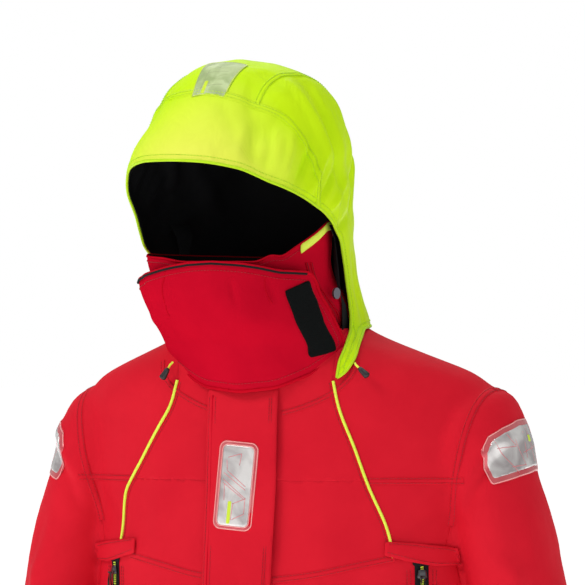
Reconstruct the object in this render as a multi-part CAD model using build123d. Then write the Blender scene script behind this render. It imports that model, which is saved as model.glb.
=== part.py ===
from build123d import *
import os
from functools import lru_cache
from math import cos, radians, sin

# A foul weather jacket for sailing, as worn: +X is the wearer's left, -Y the wearer's front, +Z up.
# The origin is where the shoulders carry it, at the neck base. Millimetres.

os.makedirs("parts", exist_ok=True)

# ---- driving dimensions ----
HEM_Z = -760            # bottom edge of the jacket
NECK_Z = 22             # seam between body and collar
YOKE_Z = -141           # seam under the shoulder yokes
SIDE_SEAM_Y = -12       # seam between the fronts and the back
CLOTH = 2.0             # laminated shell cloth with its seam tape, as one thickness
LINING = 0.8            # mesh and taffeta lining
GAP = 0.4               # clearance between layers that lie on each other
ARM_GAP = 3.0           # clearance between a sleeve and the body
HEAD_TURN = 15          # the hood looks this far to the wearer's right
ELBOW_Z = -330          # crease of the elbow
CUFF_Z = -560           # seam between sleeve and cuff
WRIST_Z = -600          # sleeve end
FLAP_X = (-47, 31)      # edges of the storm flap over the main zip
FLAP_TOP = -52
FLAP_BOTTOM = -735
FLAP_LAYER = (5.2, 6.7) # how far the storm flap stands off the fronts
HOOD_TIP_Z = -22
GUARD_LAYER = 1.8
ZIP_TOP = -36           # the zip runs under the storm flap
ZIP_BOTTOM = -748
PATCH_X = -14           # middle of the reflective patch on the flap
PATCH_Z = -147
PATCH_LEAN = 5
FLAP_HOOKS = 5
HANG_LOOP_Y = 16.0
HANG_LOOP_Z = 30

# Rings of each form: height, sideways, forward, turn, half width, half depth
BODY = (
    (HEM_Z, 0, 0, 0, 250, 168),
    (-600, 0, 0, 0, 240, 163),
    (-400, 0, 0, 0, 228, 157),
    (-260, 0, 0, 0, 226, 152.7),
    (-200, 0, 0, 0, 228, 150.9),
    (-140, 0, 3, 0, 236, 146.1),
    (-100, 0, 6, 0, 240, 141.8),
    (-70, 0, 11, 0, 240, 135.9),
    (-50, 0, 18, 0, 230, 128.3),
    (-30, 0, 28, 0, 204, 117.7),
    (-10, 0, 40, 2, 160, 105),
    (10, 0, 50, 4, 112, 96),
    (NECK_Z, 0, 58, 5, 93, 90),
)
COLLAR = (
    (NECK_Z, 0, 58, 5, 93, 90),
    (50, 0, 84, 10, 97, 93),
    (74, 0, 100, HEAD_TURN, 100, 96),
    (92, 0, 106, HEAD_TURN, 100, 97),
)
COLLAR_STRIP = (
    (74, 0, 96, HEAD_TURN, 94, 88),
    (150, 0, 104, HEAD_TURN, 100, 96),
)
GUARD = (
    (-50, 0, 54, 3, 104, 104),
    (0, 0, 72, 6, 110, 102),
    (30, 0, 92, 11, 109, 106),
    (66, 0, 106, HEAD_TURN, 109, 110),
    (92, 0, 110, HEAD_TURN, 108, 109),
)
HOOD = (
    (HOOD_TIP_Z, 0, 56, HEAD_TURN, 118, 118),
    (17, 0, 64, HEAD_TURN, 117, 118),
    (65, 0, 80, HEAD_TURN, 113, 118),
    (100, 0, 90, HEAD_TURN, 113, 120),
    (135, 0, 98, HEAD_TURN, 114, 126),
    (163, 0, 107, HEAD_TURN, 117, 131),
    (200, 0, 105, HEAD_TURN, 113, 127),
    (234, 0, 97, HEAD_TURN, 100, 114),
    (263, 0, 95, HEAD_TURN, 87, 98),
    (289, 0, 98, HEAD_TURN, 64, 71),
    (302, 0, 106, HEAD_TURN, 36, 40),
    (306, 0, 110, HEAD_TURN, 14, 16),
)
ARM = (
    (-46, 224, 10, 0, 10, 16),
    (-51, 221, 14, 0, 20, 36),
    (-60, 217, 18, 0, 31, 52),
    (-80, 214, 20, 0, 43, 65),
    (-106, 215, 20, 0, 49, 71),
    (-178, 234, 20, 0, 50, 72),
    (-257, 254, 20, 0, 50, 70),
    (ELBOW_Z, 271, 23, 0, 51, 68),
    (-400, 284, 30, 0, 49, 64),
    (-500, 295, 42, 0, 46, 58),
    (WRIST_Z, 301, 58, 0, 42, 52),
)
# The hollow left for the arm in the body's side, deeper under the elbow so that the arm can bend
ARM_ROOM = ARM[:7] + (
    (-300, 258, 26, 0, 52, 78),
    (-340, 262, 34, 0, 52, 88),
    (-380, 268, 42, 0, 52, 98),
    (-430, 276, 50, 0, 52, 106),
    (-500, 304, 50, 0, 52, 100),
    (WRIST_Z, 312, 58, 0, 50, 80),
)
ARMHOLE_TOP = (234, -40)
ARMHOLE_LEAN = 13.6     # degrees from upright
BIG = 1200
HOOK_PLACE = Pos(69, -153, 28) * Rot(0, 0, 51) * Rot(0, -27, 0)


def ring(z, side, forward, turn, half_w, half_d, grow):
    """One level section of a form, its outline moved out by grow."""
    lift = grow * (1 - half_w / 120) if half_w < 90 and z > 200 else 0
    x = side - forward * sin(radians(turn))
    y = -forward * cos(radians(turn))
    outline = Ellipse(half_w + grow, half_d + grow)
    return Pos(x, y, z + lift) * Rot(0, 0, -turn) * outline


@lru_cache(maxsize=None)
def form(rings, grow, reach=0):
    """The solid through the rings; reach makes its open ends longer, for cutting."""
    rows = list(rings)
    if reach:
        low, high = rows[0], rows[-1]
        rows = [(low[0] - reach * (1 if low[0] < high[0] else -1),) + low[1:]] + rows
        rows = rows + [(high[0] + reach * (1 if low[0] < high[0] else -1),) + high[1:]]
    return loft([ring(*row, grow) for row in rows], ruled=True)


def block(x0, x1, y0, y1, z0, z1):
    return Pos((x0 + x1) / 2, (y0 + y1) / 2, (z0 + z1) / 2) * Box(x1 - x0, y1 - y0, z1 - z0)


def head_prism(points, half_width=BIG / 2):
    """A side-view outline, as (forward, height), drawn across the turned head."""
    face = Plane.YZ * Polygon(*[(-f, z) for f, z in points], align=None)
    return Rot(0, 0, -HEAD_TURN) * extrude(face, half_width, both=True)


def head_block(side0, side1, forward0, forward1, z0, z1):
    return Rot(0, 0, -HEAD_TURN) * block(side0, side1, -forward1, -forward0, z0, z1)


def front_prism(points):
    """A front-view outline, as (x, z), drawn through the chest along Y."""
    face = Plane.XZ * Polygon(*points, align=None)
    return extrude(face, BIG / 4, both=True)


def keep(name, shape, least=1.0):
    """Write one node, without slivers left by cutting."""
    found = [s for s in shape.solids() if s.volume > least]
    body = found[0] if len(found) == 1 else Compound(children=found)
    export_step(body, f"parts/{name}.step")


def mirrored(shape):
    return mirror(shape, about=Plane.YZ)


def pair(shape):
    """A left piece with its right twin, as one node of separate solids."""
    return Compound(children=list(shape.solids()) + list(mirrored(shape).solids()))


# ---- sleeves ----
def outside_armhole(inward):
    """Everything on the sleeve's side of the armhole, moved inward by a margin."""
    x, z = ARMHOLE_TOP
    away = Box(BIG, BIG, 2 * BIG)
    return Pos(x - inward, 0, z) * Rot(0, ARMHOLE_LEAN, 0) * Pos(BIG / 2, 0, 0) * away


@lru_cache(maxsize=None)
def arm_space(grow):
    return form(ARM_ROOM, grow) & outside_armhole(grow)


@lru_cache(maxsize=None)
def armhole_passage():
    """What is cut from the body and lining so that the arm goes through."""
    x, z = ARMHOLE_TOP
    slab = Pos(x, 0, z) * Rot(0, ARMHOLE_LEAN, 0) * Pos(-4, 0, 0) * Box(26, BIG, 2 * BIG)
    return form(ARM, -7) & slab & block(0, BIG, -BIG, BIG, -192, 0)


def sleeve(z_top, z_bottom, outer=0.0, inner=-CLOTH):
    tube = form(ARM, outer) - form(ARM, inner, 5)
    return tube & outside_armhole(0) & block(0, BIG, -BIG, BIG, z_bottom, z_top)


SLEEVE_SPLIT = 1.6      # half of the slack gap at the elbow
CUFF_TAB_HINGE_Y = -57  # the tab is sewn on at the outer side


def make_sleeves():
    upper = sleeve(0, ELBOW_Z + SLEEVE_SPLIT)
    lower = sleeve(ELBOW_Z - SLEEVE_SPLIT, CUFF_Z)
    cuff = sleeve(CUFF_Z, WRIST_Z)
    seal = form(ARM, -CLOTH - GAP, 0) - form(ARM, -CLOTH - GAP - LINING, 5)
    seal = seal & block(0, BIG, -BIG, BIG, WRIST_Z + 5, CUFF_Z + 20)
    patch_box = block(200, BIG, -120, 20, -143, -78)
    patch = (form(ARM, GAP + 1.2) - form(ARM, GAP)) & patch_box & outside_armhole(-4)
    tab = (form(ARM, GAP + 2.0) - form(ARM, GAP)) & block(290, BIG, -120, CUFF_TAB_HINGE_Y, -592, -567)
    for side, turn_over in (("left", False), ("right", True)):
        made = {
            "upper_sleeve": upper, "forearm_sleeve": lower, "cuff": cuff,
            "wrist_seal": seal, "sleeve_patch": patch, "cuff_tab": tab,
        }
        for name, shape in made.items():
            keep(f"{name}_{side}", mirrored(shape) if turn_over else shape)


# ---- body ----
@lru_cache(maxsize=None)
def body_space(grow, arm_grow):
    """The body form with a hollow in each side for the arm that rests in it."""
    arm = arm_space(arm_grow)
    return form(BODY, grow, 5) - arm - mirrored(arm)


def body_wall(outer, inner, arm_outer, arm_inner):
    wall = (body_space(outer, arm_outer) - body_space(inner, arm_inner))
    passage = armhole_passage()
    wall = wall - passage - mirrored(passage) - block(-0.8, 0.8, -BIG, 0, -BIG, BIG)
    return wall & block(-BIG, BIG, -BIG, BIG, HEM_Z, NECK_Z)


POCKET_ZIP_X = (167, 179)
POCKET_ZIP_Z = (-225, -395)
# The piping line from the collar to the chest pocket, as (x, z)
PIPING = [(88, -36), (106, -85), (122, -115), (136, -141), (148, -186), (155, -226)]
# The chest panel lies inside the piping and ends at the lower chest seam.
CHEST_PANEL = [(0, 100), (88, 100)] + PIPING[:4] + [
    (320, YOKE_Z), (320, -222), (150, -222), (113, -230), (68, -240), (21, -246), (0, -248),
]


def make_body():
    shell = body_wall(0, -CLOTH, ARM_GAP, ARM_GAP + CLOTH)
    zip_slot = block(*POCKET_ZIP_X, -BIG, SIDE_SEAM_Y, POCKET_ZIP_Z[1], POCKET_ZIP_Z[0])
    front = shell & block(-BIG, BIG, -BIG, SIDE_SEAM_Y, -BIG, BIG)
    front = front - zip_slot - mirrored(zip_slot)
    back = shell & block(-BIG, BIG, SIDE_SEAM_Y, BIG, -BIG, BIG)
    chest_outline = front_prism(CHEST_PANEL)
    for side, outline, x0, x1 in (
        ("left", chest_outline, 0, BIG), ("right", mirrored(chest_outline), -BIG, 0),
    ):
        half = front & block(x0, x1, -BIG, BIG, -BIG, BIG)
        outside = half - outline
        keep(f"chest_panel_{side}", half & outline)
        keep(f"front_yoke_{side}", outside & block(x0, x1, -BIG, BIG, YOKE_Z, BIG))
        keep(f"front_panel_{side}", outside & block(x0, x1, -BIG, BIG, -BIG, YOKE_Z))
    keep("back_yoke", back & block(-BIG, BIG, -BIG, BIG, YOKE_Z, BIG))
    keep("back_panel", back & block(-BIG, BIG, -BIG, BIG, -BIG, YOKE_Z))
    deep = CLOTH + GAP + 2.6
    lining = body_wall(-deep, -deep - LINING, ARM_GAP + deep, ARM_GAP + deep + LINING)
    keep("body_lining", lining)
    facing = body_wall(-CLOTH - GAP, -CLOTH - GAP - 1.6, BIG / 8, BIG / 8)
    keep("hem_facing", facing & block(-BIG, BIG, -BIG, BIG, HEM_Z, HEM_Z + 45))


# ---- collar, face guard ----
def make_collar():
    stand = form(COLLAR, 0) - form(COLLAR, -CLOTH, 5)
    lining = form(COLLAR, -CLOTH - GAP) - form(COLLAR, -CLOTH - GAP - LINING, 5)
    keep("collar_stand", stand)
    keep("collar_lining", lining)
    strip_line = [(40, 128), (64, 128), (96, 92), (72, 92)]
    inner_wall = form(COLLAR_STRIP, 0) - form(COLLAR_STRIP, -1.2, 5)
    strips = inner_wall & head_prism(strip_line)
    keep("collar_strips", strips)
    keep("hang_loop", Pos(-6, HANG_LOOP_Y, HANG_LOOP_Z) * Box(40, 1.2, 8))
    snap_at = Rot(0, 0, -HEAD_TURN) * Pos(107, -84, 56)
    snap = snap_at * Rot(0, 90, 0) * (Cylinder(6, 2.4) + Pos(0, 0, -2) * Cylinder(3.5, 2))
    keep("hood_edge_snap", snap)


def make_guard():
    """The face guard is sewn on the wearer's right and closes over the chin to the left."""
    top = [(100, 66), (130, 74), (200, 92), (400, 92), (400, 200), (-100, 200), (-100, 66)]
    wall = form(GUARD, 0) - form(GUARD, -GUARD_LAYER, 5) - form(BODY, 7.0, 0)
    wall = (wall & head_prism([(108, -60), (108, 0), (136, 95), (400, 95), (400, -60)]))
    wall = wall - head_prism(top)
    lining = form(GUARD, -GUARD_LAYER - GAP) - form(GUARD, -GUARD_LAYER - GAP - 0.8, 5)
    lining = lining - form(BODY, 7.0, 0)
    lining = lining & head_prism([(112, -60), (112, 0), (140, 92), (400, 92), (400, -60)])
    lining = lining - head_prism(top)
    keep("face_guard", wall)
    keep("face_guard_lining", lining)
    hook = (form(GUARD, GAP + 1.2) - form(GUARD, GAP)) & HOOK_PLACE * Box(25, 70, 76)
    keep("hook_and_loop_patch", hook)


# ---- storm flap and main zip ----
@lru_cache(maxsize=None)
def front_layer(near, far):
    return (form(BODY, far) - form(BODY, near, 5)) & block(-BIG, BIG, -BIG, -20, HEM_Z, NECK_Z)


def rounded_plate(width, height, corner):
    """A flat plate with round corners in the XZ plane, through everything along Y."""
    return extrude(Plane.XZ * RectangleRounded(width, height, corner), 300, both=True)


def make_storm_flap():
    x0, x1 = FLAP_X
    flap = front_layer(*FLAP_LAYER) & block(x0, x1, -BIG, 0, FLAP_BOTTOM, FLAP_TOP)
    keep("storm_flap", flap)
    place = Pos(PATCH_X, 0, PATCH_Z) * Rot(0, PATCH_LEAN, 0)
    near = FLAP_LAYER[1] + GAP
    patch = front_layer(near, near + 1.2) & (place * rounded_plate(45, 96, 9))
    keep("storm_flap_patch", patch)
    hooks = []
    for row in range(FLAP_HOOKS):
        z = FLAP_TOP - 80 - row * 130
        hooks.append(front_layer(3.2, 4.8) & block(x0 + 58, x1 - 2, -BIG, 0, z - 35, z))
    keep("storm_flap_hook_pads", Compound(children=hooks))
    pads = []
    for row in range(FLAP_HOOKS):
        z = FLAP_TOP - 80 - row * 130
        pads.append(front_layer(GAP, 2.8) & block(x0 + 58, x1 - 2, -BIG, 0, z - 35, z))
    keep("storm_flap_loop_pads", Compound(children=pads))


def make_main_zip():
    tape = front_layer(GAP, 1.2) & block(-15, 9, -BIG, 0, ZIP_BOTTOM, ZIP_TOP)
    tape = tape - block(-4.2, -1.8, -BIG, 0, -BIG, BIG)
    keep("main_zip_tapes", tape)
    teeth = front_layer(1.6, 3.2) & block(-6, 0, -BIG, 0, ZIP_BOTTOM + 4, ZIP_TOP - 6)
    keep("main_zip_teeth", teeth)
    keep("main_zip_slider", main_slider())


def main_slider():
    """The slider's front plate, at the top of the closed teeth and under the face guard."""
    return front_layer(3.7, 4.7) & block(-8.5, 2.5, -BIG, 0, ZIP_TOP - 19, ZIP_TOP - 5)


# ---- piping ----
def make_piping():
    """Bright cord sewn into the seam from the collar to each chest pocket."""
    half = 1.5
    left = [(x - half, z) for x, z in PIPING]
    right = [(x + half, z) for x, z in reversed(PIPING)]
    strip = front_layer(GAP, 2.6) & front_prism(left + right)
    keep("chest_piping", pair(strip))


# ---- chest pockets ----
def zip_place(width_from, width_to, z0, z1):
    return block(width_from, width_to, -BIG, SIDE_SEAM_Y, z1, z0)


def make_chest_pockets():
    x0, x1 = POCKET_ZIP_X
    top, bottom = POCKET_ZIP_Z
    mid = (x0 + x1) / 2
    tape = (form(BODY, -0.4) - form(BODY, -1.6, 5)) & zip_place(x0 + 0.3, x1 - 0.3, top - 1, bottom + 1)
    garage = front_layer(GAP, 1.6) & zip_place(x0 - 1, x1 + 1, top + 8, top - 1)
    teeth = front_layer(0, 1.2) & zip_place(mid - 2.2, mid + 2.2, top - 6, bottom + 8)
    cover = front_layer(3.2, 4.8) & front_prism(
        [(140, -205), (140, -219), (184, -230), (205, -229), (205, -212)]
    )
    bag = (form(BODY, -CLOTH - GAP) - form(BODY, -CLOTH - GAP - 1.6, 5)) - arm_space(20)
    bag = bag & zip_place(x0 - 70, x1 + 4, top + 8, bottom - 20)
    slider = front_layer(1.9, 3.9) & zip_place(mid - 4.5, mid + 4.5, top - 9, top - 19)
    puller = pocket_puller(mid, top - 17)
    sewn = {
        "chest_zip_tapes": Compound(children=tape.solids() + garage.solids()),
        "chest_zip_teeth": teeth, "chest_pocket_covers": cover, "chest_pocket_bags": bag,
    }
    for name, shape in sewn.items():
        keep(name, pair(shape))
    for name, shape in {"chest_zip_slider": slider, "chest_zip_pull": puller}.items():
        keep(f"{name}_left", shape)
        keep(f"{name}_right", mirrored(shape))


PULL_TURN = 39          # the chest faces this far outward at the pocket zips
PULL_OFF = 7.0          # from the chest to the middle of the pull


def pocket_puller(x, z):
    """Two cord legs and two moulded grips that hang from a chest zip slider."""
    parts = []
    for side in (-1, 1):
        leg = Pos(side * 2.2, 0, -8) * Rot(0, side * 10, 0) * Cylinder(1.1, 16)
        grip = Pos(side * 4.6, 0, -30) * Rot(0, side * 5, 0) * Box(5, 3.2, 28)
        parts = parts + [leg, fillet(grip.edges().filter_by(Axis.Y), 1.5)]
    bar = Rot(0, 90, 0) * Cylinder(1.1, 7)
    place = Pos(x, front_y(x, z), z) * Rot(0, 0, PULL_TURN) * Pos(0, -PULL_OFF, 0)
    return place * (bar + parts)


def front_y(x, z):
    """Depth of the body form's front at a place."""
    for low, high in zip(BODY, BODY[1:]):
        if low[0] <= z <= high[0]:
            t = (z - low[0]) / (high[0] - low[0])
            forward, half_w, half_d = (low[i] + t * (high[i] - low[i]) for i in (2, 4, 5))
            return -forward - half_d * (1 - min(1, abs(x) / half_w) ** 2) ** 0.5
    return 0.0


# ---- hand pockets ----
def make_hand_pockets():
    pouch = front_layer(GAP, 9.0) & front_prism(
        [(70, -470), (70, -690), (195, -690), (195, -470)]
    )
    hollow = front_layer(1.8, 7.6) & front_prism(
        [(73, -460), (73, -687), (192, -687), (192, -460)]
    )
    lid = front_layer(9.6, 11.2) & front_prism(
        [(66, -450), (66, -515), (199, -515), (199, -450)]
    )
    keep("hand_pockets", pair(pouch - hollow))
    keep("hand_pocket_lid_left", lid)
    keep("hand_pocket_lid_right", mirrored(lid))


# ---- hem ----
def make_hem_locks():
    """Cord locks inside the hem; each button points into the jacket."""
    cases = []
    for side, name in ((1, "left"), (-1, "right")):
        x = side * 120
        y = front_y(120, HEM_Z) + 16
        at = Pos(x, y, HEM_Z + 20) * Rot(-90, 0, 0)
        case = Cylinder(7, 12) - Pos(0, 0, 1.5) * Cylinder(4.3, 11)
        button = Pos(0, 0, 3.5) * Cylinder(3.9, 9)
        cases = cases + [at * case]
        keep(f"hem_lock_button_{name}", at * button)
    keep("hem_cord_locks", Compound(children=cases))


# ---- hood drawcord ends ----
def make_toggles():
    """Each drawcord leaves the jacket at the collar's foot, in front of the shoulder."""
    bells, cords = [], []
    for x, lean in ((117, -40), (-92, 35)):
        at = Pos(x, front_y(x, -26) - 9, -20) * Rot(0, lean, 0)
        bells = bells + [at * Pos(0, 0, -14) * Cone(4.2, 2.4, 14)]
        cords = cords + [at * Pos(0, 0, -3.4) * Cylinder(1.3, 7)]
    keep("hood_drawcord_toggles", Compound(children=bells))
    keep("hood_drawcord_ends", Compound(children=cords))


# ---- hood ----
OPENING = [
    (400, 197), (232, 197), (205, 188), (175, 170), (145, 153), (118, 140), (104, 120),
    (94, 89), (86, 40), (82, -6), (78, -60), (400, -60),
]
PEAK = [(400, 120), (400, 340), (184, 266), (150, 242), (128, 195), (118, 120)]
HOOD_BACK_Z = 26
HOOD_CENTRE_HALF = 62


def hood_wall(outer, inner):
    wall = form(HOOD, outer) - form(HOOD, inner, 0)
    wall = wall - (form(HOOD, inner) & block(-BIG, BIG, -BIG, BIG, -BIG, 0))
    wall = wall - head_prism(OPENING) - form(BODY, 1.4, 0)
    behind = [(-10, HOOD_BACK_Z), (-10, -60), (-200, -60), (-200, HOOD_BACK_Z)]
    return wall - head_prism(behind)


def make_hood():
    wall = hood_wall(0, -CLOTH)
    peak = wall & head_prism(PEAK)
    rest = wall - head_prism(PEAK)
    centre = head_block(-HOOD_CENTRE_HALF, HOOD_CENTRE_HALF, -300, 400, -60, 400)
    keep("hood_peak", peak)
    keep("hood_crown_panel", rest & centre)
    left = head_block(HOOD_CENTRE_HALF, 300, -300, 400, -60, 400)
    right = head_block(-300, -HOOD_CENTRE_HALF, -300, 400, -60, 400)
    keep("hood_side_left", rest & left)
    keep("hood_side_right", rest & right)
    keep("hood_lining", hood_wall(-CLOTH - GAP, -CLOTH - GAP - LINING))
    badge = form(HOOD, GAP + 1.0) - form(HOOD, GAP)
    badge = badge & head_block(-19, 19, 125, 180, 270, 330)
    keep("hood_patch", badge)


make_sleeves()
make_body()
make_collar()
make_hood()
make_guard()
make_storm_flap()
make_main_zip()
make_piping()
make_chest_pockets()
make_hand_pockets()
make_hem_locks()
make_toggles()
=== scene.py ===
import math

import bpy
import numpy as np
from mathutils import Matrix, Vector
from mathutils.bvhtree import BVHTree


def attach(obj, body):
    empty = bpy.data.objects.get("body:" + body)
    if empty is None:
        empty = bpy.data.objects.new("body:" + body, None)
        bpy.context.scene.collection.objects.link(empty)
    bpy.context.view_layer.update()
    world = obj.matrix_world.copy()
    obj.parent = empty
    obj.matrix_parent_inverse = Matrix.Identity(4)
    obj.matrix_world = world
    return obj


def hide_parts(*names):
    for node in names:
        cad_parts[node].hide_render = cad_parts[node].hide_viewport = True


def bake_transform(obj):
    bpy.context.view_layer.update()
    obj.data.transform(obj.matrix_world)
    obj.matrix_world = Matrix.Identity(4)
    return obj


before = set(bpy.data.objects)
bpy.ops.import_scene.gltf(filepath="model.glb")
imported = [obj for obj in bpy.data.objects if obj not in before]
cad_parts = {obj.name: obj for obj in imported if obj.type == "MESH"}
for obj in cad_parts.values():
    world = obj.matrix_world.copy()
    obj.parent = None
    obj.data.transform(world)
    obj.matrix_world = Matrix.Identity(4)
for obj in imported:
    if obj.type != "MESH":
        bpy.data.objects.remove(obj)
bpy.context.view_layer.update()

# Foul weather jacket: the looks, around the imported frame. Metres, same frame as the frame's nodes.
MM = 0.001
HEAD_TURN = math.radians(15)
HEM_Z, YOKE_Z = -0.760, -0.141
SIDE_SEAM_Y = -0.012
ELBOW_Z, CUFF_Z, WRIST_Z = -0.330, -0.560, -0.600
CLOTH = 0.0012
SIDES = ((1, "left"), (-1, "right"))
# The armhole seam in the front view: a place on the left one, and its lean
ARMHOLE_X, ARMHOLE_Z, ARMHOLE_LEAN = 0.2275, -0.044, math.radians(11.5)

# Rings of each form in millimetres: height, forward, turn in degrees, half width, half depth
BODY = [
    (-790, 0, 0, 251, 168), (-760, 0, 0, 250, 168), (-600, 0, 0, 240, 163), (-400, 0, 0, 228, 157),
    (-260, 0, 0, 226, 152.7), (-200, 0, 0, 229, 150.9), (-140, 3, 0, 236, 146.1),
    (-100, 6, 0, 238, 141.8), (-70, 11, 0, 236, 135.9), (-50, 18, 0, 226, 128.3),
    (-30, 28, 0, 204, 117.7), (-10, 40, 2, 160, 105), (10, 50, 4, 112, 96),
    (22, 58, 5, 93, 90), (40, 66, 5, 80, 80),
]
COLLAR = [
    (4, 50, 5, 98, 94), (22, 58, 5, 93, 90), (50, 84, 10, 97, 93), (74, 100, 15, 100, 96),
    (94, 107, 15, 100, 97), (115, 107, 15, 101, 98), (145, 106, 15, 103, 101),
]
GUARD = [
    (-58, 52, 3, 101, 103), (-30, 60, 4, 106, 103), (0, 72, 6, 110, 102), (30, 92, 11, 109, 106),
    (66, 106, 15, 109, 110), (96, 110, 15, 108, 109),
]
HOOD = [
    (-40, 52, 15, 119, 118), (-22, 56, 15, 118, 118), (17, 64, 15, 117, 118),
    (65, 80, 15, 113, 118), (100, 90, 15, 113, 120), (135, 98, 15, 114, 126),
    (163, 107, 15, 117, 131), (200, 105, 15, 113, 127), (234, 97, 15, 100, 114),
    (263, 95, 15, 87, 98), (289, 98, 15, 64, 71), (302, 106, 15, 36, 40), (306.5, 110, 15, 3, 3.5),
]
# The arm adds its sideways place as a last value.
ARM = [
    (-46, 10, 0, 8, 13, 224), (-51, 14, 0, 20, 36, 221), (-60, 18, 0, 31, 52, 217),
    (-80, 20, 0, 43, 65, 214), (-106, 20, 0, 49, 71, 215), (-178, 20, 0, 50, 72, 234),
    (-257, 20, 0, 50, 70, 254), (-330, 23, 0, 51, 68, 271), (-400, 30, 0, 49, 64, 284),
    (-500, 42, 0, 46, 58, 295), (-600, 58, 0, 42, 52, 301), (-640, 64, 0, 40, 50, 304),
]
# Face opening in the head's side view, (forward, up): the wearer's left edge and the right one
OPENING = {
    "left": [(400, 199), (233, 196), (224, 194), (205, 187), (184, 174), (159, 164), (112, 143), (92, 131),
             (74, 112), (67, 89), (60, 53), (61, 29), (66, 12), (74, -6), (80, -16), (84, -40), (88, -60),
             (400, -60)],
    "right": [(400, 199), (233, 196), (224, 195), (205, 189), (186, 178), (172, 162), (160, 142), (152, 124),
              (140, 106), (108, 90), (86, 70), (80, 40), (82, -6), (86, -60), (400, -60)],
}


# ---- numbers ----
def rows_at(rings, z):
    """Ring values at heights z in millimetres, by a monotone cubic through the rings."""
    table = np.array(sorted(rings))
    x, y = table[:, 0], table[:, 1:]
    h = np.diff(x)[:, None]
    slope = np.diff(y, axis=0) / h
    before, after = slope[:-1], slope[1:]
    total = np.where(before + after == 0, 1, before + after)
    middle = np.where(before * after > 0, 2 * before * after / total, 0)
    d = np.vstack([slope[:1], middle, slope[-1:]])
    i = np.clip(np.searchsorted(x, z) - 1, 0, len(x) - 2)
    t = ((z - x[i]) / h[i, 0])[:, None]
    h00, h10 = 2 * t**3 - 3 * t**2 + 1, t**3 - 2 * t**2 + t
    h01, h11 = -2 * t**3 + 3 * t**2, t**3 - t**2
    return h00 * y[i] + h10 * h[i] * d[i] + h01 * y[i + 1] + h11 * h[i] * d[i + 1]


def ring_point(rings, z, phi, grow=0.0):
    """Points of a form. z and grow are metres; phi is 0 at its front, plus to the wearer's left."""
    z, phi = np.broadcast_arrays(np.asarray(z, float), np.asarray(phi, float))
    r = rows_at(rings, z.ravel() * 1000)
    p = phi.ravel()
    forward, turn, a, b = r[:, 0] * MM, np.radians(r[:, 1]), r[:, 2] * MM + grow, r[:, 3] * MM + grow
    side = r[:, 4] * MM if r.shape[1] > 4 else 0.0
    v, f = a * np.sin(p), forward + b * np.cos(p)
    x = side + v * np.cos(turn) - f * np.sin(turn)
    y = -v * np.sin(turn) - f * np.cos(turn)
    return np.stack([x, y, z.ravel()], axis=1).reshape(z.shape + (3,))


def head_frame(p):
    """(sideways, forward, up) of points in the turned head's frame."""
    c, s = math.cos(HEAD_TURN), math.sin(HEAD_TURN)
    v = p[..., 0] * c - p[..., 1] * s
    f = -p[..., 0] * s - p[..., 1] * c
    return v, f, p[..., 2]


def head_point(v, f, z):
    c, s = math.cos(HEAD_TURN), math.sin(HEAD_TURN)
    return Vector((v * c - f * s, -v * s - f * c, z))


# ---- meshes as (vertices, triangles) ----
def quads(rows, cols, closed=False):
    """Two triangles in each cell of a grid of vertices; closed joins its last column to its first."""
    i = np.arange(rows - 1)[:, None] * cols
    j = np.arange(cols if closed else cols - 1)[None, :]
    k = (j + 1) % cols
    quad = np.stack(np.broadcast_arrays(i + j, i + k, i + cols + k, i + cols + j), axis=-1).reshape(-1, 4)
    return np.vstack([quad[:, [0, 1, 2]], quad[:, [0, 2, 3]]])


def grid(rings, z, phi, grow=0.0, closed=False):
    """A form's surface over heights z and angles phi."""
    points = ring_point(rings, z[:, None], phi[None, :], grow)
    return points.reshape(-1, 3), quads(len(z), len(phi), closed)


def capped(mesh, cols):
    """Close both ends of a closed grid with fans."""
    v, f = mesh
    rows = len(v) // cols
    ends = []
    for row, flip in ((0, True), (rows - 1, False)):
        ring = np.arange(cols) + row * cols
        centre = len(v)
        v = np.vstack([v, v[ring].mean(axis=0)])
        fan = np.stack([ring, np.roll(ring, -1), np.full(cols, centre)], axis=1)
        ends.append(fan[:, ::-1] if flip else fan)
    return v, np.vstack([f] + ends)


def join(*meshes):
    vs, fs, n = [], [], 0
    for v, f in meshes:
        vs.append(v)
        fs.append(np.asarray(f) + n)
        n += len(v)
    return np.vstack(vs), np.vstack(fs)


def clip(mesh, value):
    """The part of a triangle mesh where value, one number for each vertex, is below 0."""
    v, f = mesh
    value = np.where(np.abs(value) < 1e-7, -1e-7, value)
    inside = value[f] < 0
    count = inside.sum(axis=1)
    keep = [f[count == 3]]
    extra, cuts = [], {}

    def cut(a, b):
        key = (min(a, b), max(a, b))
        if key not in cuts:
            t = value[a] / (value[a] - value[b])
            cuts[key] = len(v) + len(extra)
            extra.append(v[a] + t * (v[b] - v[a]))
        return cuts[key]

    made = []
    for n in np.nonzero((count == 1) | (count == 2))[0]:
        tri, flags = f[n], inside[n]
        alone = int(np.nonzero(flags if count[n] == 1 else ~flags)[0][0])
        a, b, c = int(tri[alone]), int(tri[(alone + 1) % 3]), int(tri[(alone + 2) % 3])
        ab, ac = cut(a, b), cut(a, c)
        if count[n] == 1:
            made.append((a, ab, ac))
        else:
            made.extend([(ab, b, c), (ab, c, ac)])
    v = np.vstack([v, np.array(extra).reshape(-1, 3)])
    f = np.vstack(keep + [np.array(made, int).reshape(-1, 3)])
    return tidy((v, f))


def tidy(mesh):
    """Drop vertices that no face uses."""
    v, f = mesh
    used = np.unique(f)
    index = np.zeros(len(v), int)
    index[used] = np.arange(len(used))
    return v[used], index[f]


def normals(mesh):
    v, f = mesh
    face = np.cross(v[f[:, 1]] - v[f[:, 0]], v[f[:, 2]] - v[f[:, 0]])
    n = np.zeros_like(v)
    for corner in range(3):
        np.add.at(n, f[:, corner], face)
    return n / np.maximum(np.linalg.norm(n, axis=1), 1e-12)[:, None]


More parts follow.
